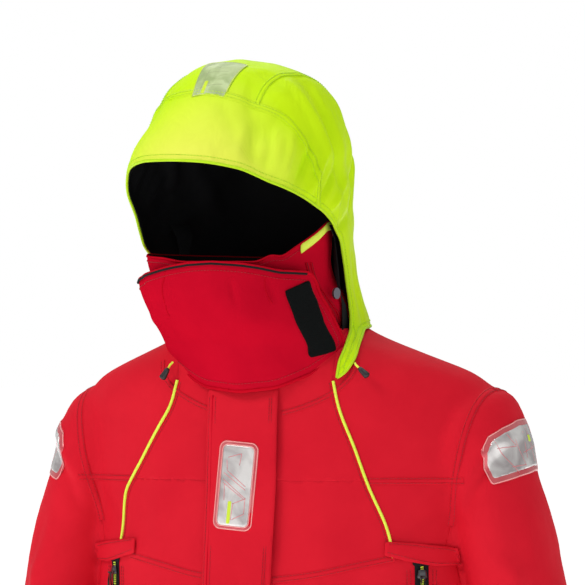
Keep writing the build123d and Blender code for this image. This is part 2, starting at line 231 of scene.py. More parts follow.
def border(f):
    """Directed edges that only one face uses."""
    edges = np.vstack([f[:, [0, 1]], f[:, [1, 2]], f[:, [2, 0]]])
    n = f.max() + 1
    forward, backward = edges[:, 0] * n + edges[:, 1], edges[:, 1] * n + edges[:, 0]
    return edges[~np.isin(forward, backward)]


def filled(outer, inner, f):
    """One closed mesh between a surface and its inner copy."""
    e, m = border(f), len(outer)
    rim = np.vstack([np.stack([e[:, 1], e[:, 0], e[:, 0] + m], axis=1),
                     np.stack([e[:, 1], e[:, 0] + m, e[:, 1] + m], axis=1)])
    return np.vstack([outer, inner]), np.vstack([f, f[:, ::-1] + m, rim])


def thick(mesh, t=CLOTH):
    """Give cloth its thickness, inward from the surface given."""
    v, f = mesh
    return filled(v, v - normals(mesh) * t, f)


def neighbours_mean(mesh, times, hold):
    """Smooth a mesh; hold is 0 for vertices that stay and 1 for those that move."""
    v, f = mesh
    v = v.copy()
    e = np.unique(np.sort(np.vstack([f[:, [0, 1]], f[:, [1, 2]], f[:, [2, 0]]]), axis=1), axis=0)
    degree = np.bincount(e.ravel(), minlength=len(v))[:, None].clip(1)
    weight = 0.5 * hold[:, None]
    for _ in range(times):
        total = np.zeros_like(v)
        np.add.at(total, e[:, 0], v[e[:, 1]])
        np.add.at(total, e[:, 1], v[e[:, 0]])
        v += (total / degree - v) * weight
    return v, f


def make(name, mesh, body, finish, replaces=()):
    """A smooth piece from a mesh, on a body, with its material."""
    v, f = mesh
    data = bpy.data.meshes.new(name)
    data.from_pydata([tuple(p) for p in v.tolist()], [], f.tolist())
    data.validate()
    data.polygons.foreach_set("use_smooth", [True] * len(data.polygons))
    ob = placed(name, data)
    if finish:
        data.materials.append(finish)
    if body:
        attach(ob, body)
    if replaces:
        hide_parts(*replaces)
    return ob


def stand_in(cad_node, mesh, body, finish, name=None):
    """A piece in the place of one CAD node, named after it unless a name is given."""
    return make(name or "cloth_" + cad_node, mesh, body, finish, replaces=(cad_node,))


def placed(name, data):
    """A new object in the scene."""
    ob = bpy.data.objects.new(name, data)
    bpy.context.collection.objects.link(ob)
    return ob


def remesh(mesh, voxel):
    """One even closed skin around overlapping closed meshes."""
    ob = make("remesh_work", mesh, None, None)
    modifier = ob.modifiers.new("remesh", "REMESH")
    modifier.mode = "VOXEL"
    modifier.voxel_size = voxel
    even = bpy.data.meshes.new_from_object(ob.evaluated_get(bpy.context.evaluated_depsgraph_get()))
    even.calc_loop_triangles()
    v = np.empty(len(even.vertices) * 3)
    even.vertices.foreach_get("co", v)
    f = np.empty(len(even.loop_triangles) * 3, dtype=np.int32)
    even.loop_triangles.foreach_get("vertices", f)
    bpy.data.objects.remove(ob)
    bpy.data.meshes.remove(even)
    return v.reshape(-1, 3), f.reshape(-1, 3).astype(int)


def tree(mesh):
    v, f = mesh
    return BVHTree.FromPolygons([tuple(p) for p in v.tolist()], f.tolist())


# ---- materials ----
def material(name, color, rough=0.5, **socket):
    m = bpy.data.materials.new(name)
    m.use_nodes = True
    p = m.node_tree.nodes["Principled BSDF"]
    p.inputs["Base Color"].default_value = (*color, 1)
    p.inputs["Roughness"].default_value = rough
    for key, value in socket.items():
        p.inputs[key.replace("_", " ")].default_value = value
    return m, m.node_tree.nodes, m.node_tree.links, p


def node(nodes, kind, **values):
    n = nodes.new(kind)
    for key, value in values.items():
        if hasattr(n, key):
            setattr(n, key, value)
        else:
            n.inputs[key.replace("_", " ")].default_value = value
    return n


def cloth_material(name, color, shade, weave_mm=0.9, bump=0.25, rough=0.5, sheen=0.0, shine=0.10,
                   pale=None, crumple=0.0):
    """Coated plain-weave cloth: crossed threads, soft tone changes and fine pores."""
    m, nodes, links, p = material(name, color, rough, Sheen_Weight=sheen, Sheen_Roughness=0.4)
    p.inputs["Specular IOR Level"].default_value = shine
    where = nodes.new("ShaderNodeTexCoord")
    noise = node(nodes, "ShaderNodeTexNoise", Scale=14.0, Detail=5.0, Roughness=0.55)
    fine = node(nodes, "ShaderNodeTexNoise", Scale=900.0, Detail=2.0)
    mix = node(nodes, "ShaderNodeMix", data_type="RGBA")
    mix.inputs["A"].default_value = (*color, 1)
    mix.inputs["B"].default_value = (*shade, 1)
    spread = node(nodes, "ShaderNodeMapRange", From_Min=0.35, From_Max=0.75, To_Max=0.5)
    links.new(where.outputs["Object"], noise.inputs["Vector"])
    links.new(where.outputs["Object"], fine.inputs["Vector"])
    links.new(noise.outputs["Fac"], spread.inputs["Value"])
    links.new(spread.outputs["Result"], mix.inputs["Factor"])
    links.new(mix.outputs["Result"], p.inputs["Base Color"])
    if pale:
        # painted highlight: the peak's front is mixed towards a paler yellow, standing in for the light on the
        # brim
        axes = nodes.new("ShaderNodeSeparateXYZ")
        ahead = node(nodes, "ShaderNodeMapRange", From_Min=-0.165, From_Max=-0.235, To_Max=0.62)
        painted_highlight_mix = node(nodes, "ShaderNodeMix", data_type="RGBA")
        painted_highlight_mix.inputs["B"].default_value = (*pale, 1)
        links.new(where.outputs["Object"], axes.inputs["Vector"])
        links.new(axes.outputs["Y"], ahead.inputs["Value"])
        links.new(ahead.outputs["Result"], painted_highlight_mix.inputs["Factor"])
        links.new(mix.outputs["Result"], painted_highlight_mix.inputs["A"])
        links.new(painted_highlight_mix.outputs["Result"], p.inputs["Base Color"])
    heights = []
    if crumple:
        # soft creases, longer up and down than across
        stretch = node(nodes, "ShaderNodeMapping")
        stretch.inputs["Scale"].default_value = (30.0, 30.0, 11.0)
        crease = node(nodes, "ShaderNodeTexNoise", Scale=1.0, Detail=2.0, Distortion=0.9)
        links.new(where.outputs["Object"], stretch.inputs["Vector"])
        links.new(stretch.outputs["Vector"], crease.inputs["Vector"])
        creased = node(nodes, "ShaderNodeBump", Strength=crumple, Distance=0.006)
        links.new(crease.outputs["Fac"], creased.inputs["Height"])
    for axis in ("X", "Z"):
        wave = node(nodes, "ShaderNodeTexWave", bands_direction=axis, Scale=314.0 / weave_mm,
                    Distortion=1.5, Detail=1.0)
        links.new(where.outputs["Object"], wave.inputs["Vector"])
        heights.append(wave.outputs["Fac"])
    cross = node(nodes, "ShaderNodeMath", operation="MULTIPLY")
    links.new(heights[0], cross.inputs[0])
    links.new(heights[1], cross.inputs[1])
    total = node(nodes, "ShaderNodeMath", operation="ADD")
    links.new(cross.outputs[0], total.inputs[0])
    links.new(fine.outputs["Fac"], total.inputs[1])
    relief = node(nodes, "ShaderNodeBump", Strength=bump, Distance=0.0002)
    links.new(total.outputs[0], relief.inputs["Height"])
    if crumple:
        links.new(creased.outputs["Normal"], relief.inputs["Normal"])
    links.new(relief.outputs["Normal"], p.inputs["Normal"])
    rough_map = node(nodes, "ShaderNodeMapRange", To_Min=rough - 0.06, To_Max=rough + 0.08)
    links.new(noise.outputs["Fac"], rough_map.inputs["Value"])
    links.new(rough_map.outputs["Result"], p.inputs["Roughness"])
    return m


def plain_material(name, color, rough, grain=1500.0, bump=0.2, depth=0.0001, **socket):
    """Moulded or coated surface with a fine grain."""
    m, nodes, links, p = material(name, color, rough, **socket)
    where = nodes.new("ShaderNodeTexCoord")
    noise = node(nodes, "ShaderNodeTexNoise", Scale=grain, Detail=3.0)
    links.new(where.outputs["Object"], noise.inputs["Vector"])
    relief = node(nodes, "ShaderNodeBump", Strength=bump, Distance=depth)
    links.new(noise.outputs["Fac"], relief.inputs["Height"])
    links.new(relief.outputs["Normal"], p.inputs["Normal"])
    spread = node(nodes, "ShaderNodeMapRange", To_Min=max(rough - 0.08, 0.05), To_Max=rough + 0.1)
    links.new(noise.outputs["Fac"], spread.inputs["Value"])
    links.new(spread.outputs["Result"], p.inputs["Roughness"])
    return m


def film_material(name, light, dark, scale, rough=0.25, metal=0.35):
    """Retroreflective film: fine cells, cloudy silver and the cloth's tint in it."""
    m, nodes, links, p = material(name, light, rough, Metallic=metal, Coat_Weight=metal * 1.7,
                                  Coat_Roughness=0.12)
    where = nodes.new("ShaderNodeTexCoord")
    cloud = node(nodes, "ShaderNodeTexNoise", Scale=scale, Detail=3.0, Distortion=0.6)
    cells = node(nodes, "ShaderNodeTexVoronoi", Scale=1400.0)
    mix = node(nodes, "ShaderNodeMix", data_type="RGBA")
    mix.inputs["A"].default_value = (*dark, 1)
    mix.inputs["B"].default_value = (*light, 1)
    spread = node(nodes, "ShaderNodeMapRange", From_Min=0.38, From_Max=0.62)
    relief = node(nodes, "ShaderNodeBump", Strength=0.35, Distance=0.0001)
    links.new(where.outputs["Object"], cloud.inputs["Vector"])
    links.new(where.outputs["Object"], cells.inputs["Vector"])
    links.new(cloud.outputs["Fac"], spread.inputs["Value"])
    links.new(spread.outputs["Result"], mix.inputs["Factor"])
    links.new(mix.outputs["Result"], p.inputs["Base Color"])
    links.new(cells.outputs["Distance"], relief.inputs["Height"])
    links.new(relief.outputs["Normal"], p.inputs["Normal"])
    return m


RED = cloth_material("red_shell_cloth", (0.68, 0.011, 0.026), (0.55, 0.005, 0.018), rough=0.6, shine=0.05,
                     crumple=0.10)
# The red shell cloth made darker for the collar and the face guard: painted shade, as they sit in the hood's
# shade and face away from the key light
RED_PAINTED_SHADE = cloth_material("red_cloth_painted_shade", (0.54, 0.004, 0.020), (0.42, 0.002, 0.015), rough=0.6, shine=0.0,
                           crumple=0.10)
# The same darker red on rolled and pressed edges, darts and placket edges: painted shade along these edges and
# creases
RED_EDGE_PAINTED_SHADE = cloth_material("red_edge_painted_shade", (0.54, 0.004, 0.016), (0.40, 0.002, 0.012), rough=0.6, shine=0.0)
# The pale colour given here is a painted highlight on the front of the hood's peak
LIME = cloth_material("lime_hood_cloth", (0.60, 0.88, 0.008), (0.47, 0.78, 0.003), rough=0.45, shine=0.05,
                      crumple=0.55, pale=(0.95, 0.80, 0.16))
LIME_EDGE = cloth_material("lime_edge_binding", (0.52, 0.80, 0.02), (0.42, 0.70, 0.01), weave_mm=0.6,
                           sheen=0.02)
LIME_TRIM = cloth_material("lime_trim", (0.80, 0.95, 0.10), (0.70, 0.88, 0.05), weave_mm=0.6, bump=0.4)
THREAD_RED = plain_material("red_thread", (0.44, 0.003, 0.014), 0.7, bump=0.4)
THREAD_LIME = plain_material("lime_thread", (0.50, 0.76, 0.01), 0.6, bump=0.4)
BLACK = cloth_material("black_lining_cloth", (0.010, 0.010, 0.011), (0.018, 0.018, 0.020), rough=0.75)
HOOK = plain_material("hook_and_loop_pile", (0.004, 0.005, 0.005), 0.95, grain=900.0, bump=1.0, depth=0.001,
                      Specular_IOR_Level=0.1)
PLASTIC = plain_material("black_moulded_plastic", (0.012, 0.012, 0.013), 0.38)
GRIP = plain_material("grey_grip_rubber", (0.075, 0.078, 0.082), 0.55)
METAL = plain_material("dark_coated_metal", (0.10, 0.10, 0.105), 0.3, Metallic=0.9)
STEEL = plain_material("grey_metal", (0.16, 0.16, 0.19), 0.3, Metallic=0.8)
SEAL = plain_material("black_wrist_rubber", (0.02, 0.02, 0.021), 0.5, grain=700.0)
FILM = film_material("silver_reflective_film", (0.78, 0.76, 0.74), (0.42, 0.38, 0.38), 28.0)
FILM_HOOD = film_material("hood_reflective_film", (0.50, 0.60, 0.30), (0.34, 0.44, 0.18), 60.0, rough=0.6,
                          metal=0.1)
FILM_EDGE = film_material("clear_film_over_cloth", (0.74, 0.16, 0.17), (0.66, 0.07, 0.09), 20.0)
FILM_RIDGE = plain_material("film_pressed_ridge", (0.85, 0.34, 0.33), 0.25)
FILM_LINE = plain_material("film_line", (0.66, 0.20, 0.22), 0.35)
FILM_HOOD_LINE = plain_material("hood_film_line", (0.30, 0.36, 0.16), 0.35)
LIME_BAR = plain_material("lime_bar", (0.62, 0.80, 0.03), 0.35)


# ---- the red skin: body and both arms as one surface ----
def arm_surface_x(y, z, grow):
    """The arm's inner side face at places (y, z), or a far value where there is no arm."""
    r = rows_at(ARM, z * 1000)
    cy, a, b, side = -r[:, 0] * MM, r[:, 2] * MM + grow, r[:, 3] * MM + grow, r[:, 4] * MM
    t = np.clip(1 - ((y - cy) / b) ** 2, 0, None)
    reach = side - a * np.sqrt(t)
    return np.where(t > 0, reach, 1.0)


# The room left for the forearm in the body's side: height, and how far in from the arm's own side
FOREARM_ROOM = [(-0.50, 0.010), (-0.43, 0.018), (-0.38, 0.014), (-0.34, 0.008), (-0.30, 0.002), (-0.26, 0.0)]
ARMPIT_Z = -0.196
ARM_AIR = 0.009


def body_solid():
    z = np.arange(-0.79, 0.0401, 0.006)
    phi = np.linspace(0, 2 * math.pi, 181)[:-1]
    v, f = grid(BODY, z, phi, closed=True)
    below = np.clip((ARMPIT_Z - v[:, 2]) / 0.022, 0, 1)
    x = np.abs(v[:, 0])
    room = np.interp(v[:, 2], *np.array(FOREARM_ROOM).T)
    limit = arm_surface_x(v[:, 1], v[:, 2], room) - ARM_AIR
    pulled = np.minimum(x, limit)
    soft = np.minimum(x, np.where(limit < 0.9, limit + 0.05 * (1 - below), x))
    x_new = np.where(below > 0, np.minimum(soft, x), x)
    x_new = np.where(below >= 1, pulled, x_new)
    v[:, 0] = np.sign(v[:, 0]) * x_new
    return capped((v, f), len(phi))


def arm_solid(side):
    z = np.concatenate([[-0.0462, -0.047, -0.0485], np.arange(-0.051, -0.64, -0.006)])[::-1]
    phi = np.linspace(0, 2 * math.pi, 73)[:-1]
    v, f = capped(grid(ARM, z, phi, closed=True), len(phi))
    if side < 0:
        v = v * np.array([-1, 1, 1])
        f = f[:, ::-1]
    return v, f


def fold(v, n, a, b, width, depth, front=True):
    """Push a soft ridge (depth > 0) or valley along the line a-b, given as (x, z), on one side."""
    a, b = np.array(a), np.array(b)
    p = v[:, [0, 2]]
    along = b - a
    length = np.linalg.norm(along)
    t = np.clip((p - a) @ along / length**2, 0, 1)
    distance = np.linalg.norm(p - (a + t[:, None] * along), axis=1)
    taper = np.sin(math.pi * np.clip(t, 0.02, 0.98)) ** 0.6
    facing = np.clip((-n[:, 1] if front else n[:, 1]) * 2.5, 0, 1)
    return depth * np.exp(-((distance / width) ** 2)) * taper * facing


BODY_FOLDS = [
    # start, end, width, depth, front
    ((0.215, -0.060), (0.190, -0.150), 0.012, 0.0035, True),
    ((0.200, -0.165), (0.150, -0.215), 0.016, -0.0040, True),
    ((-0.205, -0.150), (-0.165, -0.215), 0.018, -0.0050, True),
    ((-0.190, -0.200), (-0.120, -0.225), 0.014, 0.0030, True),
    ((0.190, -0.200), (0.120, -0.245), 0.014, 0.0035, True),
    ((-0.100, -0.060), (-0.110, -0.250), 0.022, 0.0025, True),
    ((0.080, -0.070), (0.070, -0.300), 0.020, 0.0025, True),
    ((0.110, -0.250), (0.100, -0.440), 0.018, -0.0030, True),
    ((-0.110, -0.250), (-0.090, -0.440), 0.018, -0.0030, True),
    ((-0.180, -0.330), (-0.060, -0.400), 0.016, 0.0035, True),
    ((0.190, -0.360), (0.060, -0.430), 0.016, 0.0035, True),
    ((0.200, -0.450), (0.210, -0.640), 0.020, -0.0040, True),
    ((-0.200, -0.450), (-0.215, -0.640), 0.020, -0.0040, True),
    ((0.030, -0.600), (0.060, -0.740), 0.022, 0.0030, True),
    ((-0.060, -0.580), (-0.070, -0.740), 0.020, 0.0030, True),
    ((0.020, -0.110), (0.150, -0.260), 0.022, 0.0045, False),
    ((-0.030, -0.110), (-0.160, -0.270), 0.022, 0.0045, False),
    ((0.160, -0.260), (0.100, -0.460), 0.024, -0.0045, False),
    ((-0.150, -0.280), (-0.080, -0.470), 0.024, -0.0045, False),
    ((0.000, -0.340), (0.010, -0.700), 0.030, 0.0040, False),
    ((0.120, -0.480), (0.150, -0.740), 0.022, 0.0040, False),
    ((-0.120, -0.500), (-0.140, -0.740), 0.022, 0.0040, False),
    ((-0.190, -0.380), (-0.060, -0.430), 0.018, 0.0035, False),
    ((0.200, -0.360), (0.050, -0.420), 0.018, 0.0035, False),
]
SLEEVE_FOLDS = [
    # start (x, z), end, width, depth, front, for the wearer's left arm
    ((0.262, -0.080), (0.212, -0.150), 0.010, 0.0050, True),
    ((0.255, -0.100), (0.215, -0.180), 0.008, -0.0045, True),
    ((0.285, -0.160), (0.270, -0.330), 0.014, 0.0035, True),
    ((0.262, -0.170), (0.300, -0.300), 0.010, -0.0045, True),
    ((0.230, -0.200), (0.285, -0.255), 0.010, 0.0030, True),
    ((0.230, -0.290), (0.320, -0.330), 0.011, 0.0045, True),
    ((0.235, -0.330), (0.330, -0.350), 0.010, -0.0045, True),
    ((0.240, -0.365), (0.335, -0.385), 0.011, 0.0045, True),
    ((0.250, -0.420), (0.335, -0.470), 0.014, 0.0030, True),
    ((0.265, -0.500), (0.330, -0.545), 0.012, 0.0035, True),
    ((0.220, -0.110), (0.280, -0.230), 0.016, 0.0045, False),
    ((0.250, -0.260), (0.320, -0.330), 0.014, 0.0040, False),
    ((0.250, -0.400), (0.320, -0.350), 0.012, -0.0040, False),
    ((0.265, -0.440), (0.325, -0.540), 0.014, 0.0035, False),
]


def ripple(v, size, height, seed):
    """Gentle uneven swell, the same each run."""
    rng = np.random.default_rng(seed)
    total = np.zeros(len(v))
    for _ in range(9):
        direction = rng.normal(size=3)
        direction /= np.linalg.norm(direction)
        wave = 2 * math.pi / (size * rng.uniform(0.7, 1.5))
        total += np.sin(v @ direction * wave + rng.uniform(0, 6.28))
    return total * height / 3


def red_skin():
    skin = remesh(join(body_solid(), arm_solid(1), arm_solid(-1)), 0.0042)
    v, f = skin
    upper = np.clip((v[:, 2] + 0.235) / 0.03, 0, 1)
    skin = neighbours_mean(skin, 10, 0.25 + 0.75 * upper)
    v, f = skin
    n = normals(skin)
    on_arm = (np.abs(v[:, 0]) > 0.20) & ((np.abs(v[:, 0]) > 0.245) | (v[:, 2] > -0.45))
    push = ripple(v, 0.11, 0.0011, 4) + ripple(v, 0.05, 0.0004, 5)
    for a, b, width, depth, front in BODY_FOLDS:
        push += np.where(on_arm & (v[:, 2] < -0.22), 0, fold(v, n, a, b, width, depth, front))
    side_view = v.copy()
    side_view[:, 0] = np.abs(v[:, 0])
    for a, b, width, depth, front in SLEEVE_FOLDS:
        push += np.where(on_arm, fold(side_view, n, a, b, width, depth, front), 0)
    calm = np.clip((v[:, 2] + 0.01) / -0.03, 0, 1)
    return v + n * (push * calm)[:, None], f


def armhole_side(v):
    """Metres outside the armhole seam, for both arms."""
    x, z = np.abs(v[:, 0]) - ARMHOLE_X, v[:, 2] - ARMHOLE_Z
    return x * math.cos(ARMHOLE_LEAN) - z * math.sin(ARMHOLE_LEAN)


SKIN = red_skin()
SKIN_TREE = tree(SKIN)


# How far out the sleeve's own surface lies, in arm radii; the body's side starts beyond it
ARM_REACH = 1.12
# Below this height the sleeve and the body are two surfaces
APART_Z = -0.222


def split_skin():
    """The body's skin and the sleeves', cut at the armhole seams; below the armpits they are apart."""
    v = SKIN[0]
    r = rows_at(ARM, v[:, 2] * 1000) * MM
    out = np.hypot((np.abs(v[:, 0]) - r[:, 4]) / r[:, 2], (v[:, 1] + r[:, 0]) / r[:, 3])
    out[np.abs(v[:, 0]) > r[:, 4] - 0.3 * r[:, 2]] = 0.0
    tubes = (ARM_REACH - out) * 0.05
    side = np.where(v[:, 2] > APART_Z, armhole_side(v), tubes)
    return clip(SKIN, side), clip(SKIN, -side)


# ---- laying things on a surface ----
def inside_distance(p, outline):
    """Metres inside a flat outline, less than 0 outside it."""
    best = np.full(len(p), 9.0)
    inside = np.zeros(len(p), bool)
    for start, end in zip(outline, np.roll(outline, -1, axis=0)):
        along = end - start
        t = np.clip((p - start) @ along / (along @ along), 0, 1)
        best = np.minimum(best, np.linalg.norm(p - start - t[:, None] * along, axis=1))
        crosses = (start[1] > p[:, 1]) != (end[1] > p[:, 1])
        rise = end[1] - start[1] if end[1] != start[1] else 1e-9
        inside ^= crosses & (p[:, 0] < start[0] + (p[:, 1] - start[1]) * along[0] / rise)
    return np.where(inside, best, -best)


def rect(x0, x1, z0, z1):
    return [(x0, z0), (x1, z0), (x1, z1), (x0, z1)]


def flat_piece(outline, corner=0.0, step=0.003, unit=(1.0, 1.0)):
    """A flat mesh inside an outline with round corners; unit scales it to metres for the rounding."""
    unit = np.array(unit)
    o = np.array(outline, float) * unit
    middle = o.mean(axis=0)
    core = middle + (o - middle) * (1 - corner / np.maximum(np.abs(o - middle).max(axis=0), 1e-6))
    low, high = o.min(axis=0) - 0.001, o.max(axis=0) + 0.001
    u, w = (np.linspace(low[k], high[k], max(3, int((high[k] - low[k]) / step) + 1)) for k in (0, 1))
    uu, ww = np.meshgrid(u, w)
    v = np.stack([uu.ravel(), ww.ravel(), np.zeros(uu.size)], axis=1)
    mesh = v, quads(len(w), len(u))
    v, f = clip(mesh, -inside_distance(v[:, :2], core) - corner)
    edge = inside_distance(v[:, :2], core) + corner
    return v[:, :2] / unit, f, edge


def laid(piece, place, lift, t, pillow=0.0):
    """A flat piece laid by place(u, w, lift); t is its thickness, pillow the width of its soft edge."""
    p, f, edge = piece
    full = t * (np.sqrt(np.clip(edge / pillow, 0.06, 1)) if pillow else np.ones(len(p)))
    low, high = place(p[:, 0], p[:, 1], lift), place(p[:, 0], p[:, 1], lift + full)
    if np.sum(normals((high, f)) * (high - low)) < 0:
        f = f[:, ::-1]
    return filled(high, low, f)


def raised(places, ups, lift):
    """Places moved along their own directions; lift is one value or one for each place."""
    return places + ups * np.broadcast_to(lift, (len(places),))[:, None]


def places_ups(hits):
    """Arrays of the places and directions in a list of surface hits."""
    return tuple(np.array([np.array(hit[k]) for hit in hits]) for k in (0, 1))


def settle(points, surface, lift):
    """Points moved to a surface and lifted off it, with smooth directions."""
    return raised(*nearest(surface, points), lift)


def front_y(x, z):
    """Depth of the plain body form at a place on its front."""
    r = rows_at(BODY, np.asarray(z).ravel() * 1000) * MM
    return -r[:, 0] - r[:, 3] * np.sqrt(np.clip(1 - (np.asarray(x).ravel() / r[:, 2]) ** 2, 0.01, 1))


def on_front(x, z, lift):
    """On the plain body form, straight out from the chest."""
    e = 0.002
    y = front_y(x, z)
    up = np.stack([(front_y(x + e, z) - y) / e, np.full(len(y), -1.0), (front_y(x, z + e) - y) / e], axis=1)
    up /= np.linalg.norm(up, axis=1)[:, None]
    return raised(np.stack([x, y, z], axis=1), up, lift)


def on_skin(x, z, lift):
    """On the folded red skin, seen from the front."""
    return raised(*from_front(np.stack([x, z], axis=1)), lift)


def on_arm(side):
    def place(phi, z, lift):
        p = ring_point(ARM, z, np.radians(phi))
        return settle(p * np.array([side, 1, 1]), SKIN_TREE, lift)
    return place


def on_form(rings, surface):
    def place(phi, z, lift):
        return settle(ring_point(rings, z, np.radians(phi)), surface, lift)
    return place


def on_hood(v, f, lift):
    """On the hood, straight down from above, by places in the head's frame."""
    hits = [HOOD_TREE.ray_cast(head_point(a, b, 0.6), Vector((0, 0, -1))) for a, b in zip(v, f)]
    return raised(*places_ups(hits), lift)


def loops(f):
    """The closed border lines of a mesh, longest first."""
    follow = {int(a): int(b) for a, b in border(f)}
    found = []
    while follow:
        first = next(iter(follow))
        line, at = [first], follow.pop(first)
        while at != first and at in follow:
            line.append(at)
            at = follow.pop(at)
        found.append(line)
    return sorted(found, key=len, reverse=True)


def even(points, step, closed=False):
    p = np.vstack([points, points[:1]]) if closed else points
    along = np.concatenate([[0], np.cumsum(np.linalg.norm(np.diff(p, axis=0), axis=1))])
    s = np.linspace(0, along[-1], max(3, int(along[-1] / step)))
    return np.stack([np.interp(s, along, p[:, k]) for k in range(3)], axis=1)


def soften(p, times):
    for _ in range(times):
        p = p.copy()
        p[1:-1] = (p[:-2] + 2 * p[1:-1] + p[2:]) / 4
    return p


# Shorter border loops are left without a rolled edge
LEAST_LOOP = 40


def edge_roll(name, shell, radius, body, finish, thread, inset=0.006, rise=1.0):
    """A rolled edge along a mesh's borders, with a row of stitching inside it."""
    surface = tree(shell)
    rolls, lines = [], []
    for line in loops(shell[1]):
        if len(line) < LEAST_LOOP:
            continue
        p = soften(even(shell[0][line], 0.003, True), 4)
        ups = nearest(surface, p)[1]
        rolls.append(strip(p, ups, [(a, b * rise) for a, b in round_profile(radius, 8)], closed=True))
        inner = p + np.cross(ups, tangents(p)) * inset
        lines.append(stitches(*nearest(surface, soften(inner, 3), 0.0002)))
    return [make(name, join(*rolls), body, finish), make(name + "_stitching", join(*lines), body, thread)]


def laid_cord(points, place, radius, lift=0.0, flat=1.0, step=0.003):
    """A thin cord or line laid along (u, w) points."""
    uw = smooth_uw(points, step)
    p = place(*uw.T, lift)
    up = place(*uw.T, lift + 0.002) - p
    up /= np.linalg.norm(up, axis=1)[:, None]
    return strip(p, up, [(a, b * flat) for a, b in round_profile(radius, 8)], closed=True)


# How high the threads stand that lie pressed into the cloth, as a share of their width
PRESSED = 0.001


def sewn(points, place, lift, step=0.005, ease=0, rise=1.0):
    """Stitches laid along (u, w) points."""
    uw = smooth_uw(points, step)
    base = soften(place(*uw.T, lift), ease)
    return stitches(base, (place(*uw.T, lift + 0.01) - base) * 100 * rise)


def smooth_uw(points, step):
    p = np.array(points, float)
    count = np.maximum(2, (np.linalg.norm(np.diff(p, axis=0), axis=1) / step).astype(int))
    rows = [p[i] + (p[i + 1] - p[i]) * np.linspace(0, 1, c, endpoint=False)[:, None]
            for i, c in enumerate(np.minimum(count, 60))]
    return soften(np.vstack(rows + [p[-1:]]), 2)


def nearest(surface, points, lift=0.0):
    """The nearest places on a surface, lifted off it, and the directions there."""
    places, ups = places_ups([surface.find_nearest(Vector(p)) for p in points])
    return places + ups * lift, ups


def from_front(points, back=False):
    """Points (x, z) projected onto the red skin from the front, or from the back."""
    hits, way = [], -1 if back else 1
    for x, z in points:
        hit = SKIN_TREE.ray_cast(Vector((x, -0.6 * way, z)), Vector((0, way, 0)))
        hits.append(SKIN_TREE.find_nearest(Vector((x, 0.0, z))) if hit[0] is None else hit)
    return places_ups(hits)


def smooth_line(points, step=0.004):
    """A rounded line through points, at even steps."""
    p = np.array(points, float)
    ends = np.vstack([2 * p[0] - p[1], p, 2 * p[-1] - p[-2]])
    out = []
    for i in range(len(p) - 1):
        a, b, c, d = ends[i:i + 4]
        count = max(2, int(np.linalg.norm(c - b) / step))
        t = np.linspace(0, 1, count, endpoint=False)[:, None]
        out.append(0.5 * (2 * b + (c - a) * t + (2 * a - 5 * b + 4 * c - d) * t**2
                          + (3 * b - a - 3 * c + d) * t**3))
    return np.vstack(out + [p[-1:]])


def tangents(p):
    t = np.gradient(p, axis=0)
    return t / np.maximum(np.linalg.norm(t, axis=1), 1e-9)[:, None]


def strip(points, ups, profile, surface=None, closed=False):
    """A band along points. profile holds (sideways, up) pairs, laid on the surface if one is given."""
    sides = np.cross(tangents(points), ups)
    sides /= np.maximum(np.linalg.norm(sides, axis=1), 1e-9)[:, None]
    cols = []
    for across, height in profile:
        base, up = points + sides * across, ups
        if surface is not None:
            base, up = nearest(surface, base)
        cols.append(base + up * height)
    v = np.stack(cols, axis=1)
    rows, n = v.shape[0], v.shape[1]
    f = quads(rows, n, closed)[:, ::-1]
    v = v.reshape(-1, 3)
    if closed:
        for row, flip in ((0, False), (rows - 1, True)):
            ring = np.arange(n) + row * n
            v = np.vstack([v, v[ring].mean(axis=0)])
            fan = np.stack([ring, np.roll(ring, -1), np.full(n, len(v) - 1)], axis=1)
            f = np.vstack([f, fan if flip else fan[:, ::-1]])
    return v, f


def band_profile(width, height, sink=0.0004):
    w, slope = width / 2, height * 0.5
    return [(-w, -sink), (-w + slope, height * 0.8), (0, height), (w - slope, height * 0.8), (w, -sink)]


def round_profile(radius, count=10):
    a = np.arange(count) * 2 * math.pi / count
    return [(radius * math.cos(t), radius * math.sin(t)) for t in a]


def tube(points, radius, up=(0, 0, 1), count=10):
    p = np.array(points, float)
    ups = np.cross(np.cross(tangents(p), np.array(up, float)), tangents(p))
    return strip(p, ups, round_profile(radius, count), closed=True)


def stitches(points, ups, length=0.0026, space=0.0010, radius=0.00035):
    """A row of thread stitches lying on points."""
    step = np.concatenate([[0], np.cumsum(np.linalg.norm(np.diff(points, axis=0), axis=1))])
    made = []
    at = space
    while at + length < step[-1]:
        s = np.array([at, at + length * 0.5, at + length])
        p = np.stack([np.interp(s, step, points[:, k]) for k in range(3)], axis=1)
        u = np.stack([np.interp(s, step, ups[:, k]) for k in range(3)], axis=1)
        p = p + u * np.array([[-0.2], [0.9], [-0.2]]) * radius
        made.append(strip(p, u, round_profile(radius, 5), closed=True))
        at += length + space
    return join(*made)


def seam(name, points, ups, width=0.0075, body="jacket", rows=(-1, 1)):
    """A lapped seam on the red skin: a low band and its rows of stitching, as two pieces."""
    make(name, strip(points, ups, band_profile(width, 0.0007), SKIN_TREE), body, RED)
    across = np.cross(tangents(points), ups) * width * 0.33
    lines = [stitches(*nearest(SKIN_TREE, points + across * side, 0.0007)) for side in rows]
    make(name + "_stitching", join(*lines), body, THREAD_RED)


# ---- body panels and sleeves ----
PIPING = {
    1: [(0.088, -0.036), (0.095, -0.066), (0.1095, -0.104), (0.124, -0.147), (0.140, -0.185),
        (0.1485, -0.222)],
    -1: [(0.088, -0.036), (0.095, -0.062), (0.1085, -0.0845), (0.129, -0.1156), (0.147, -0.141),
         (0.156, -0.157), (0.160, -0.186), (0.163, -0.216)],
}
CHEST_SEAM = [(0.0, -0.248), (0.021, -0.246), (0.068, -0.240), (0.113, -0.230), (0.150, -0.222)]


def side_of_line(v, line):
    """Metres outside a front-view line that goes down as (x, z), on either side of the body."""
    xs, zs = np.array(line)[:, 0], np.array(line)[:, 1]
    order = np.argsort(zs)
    return np.abs(v[:, 0]) - np.interp(v[:, 2], zs[order], xs[order])


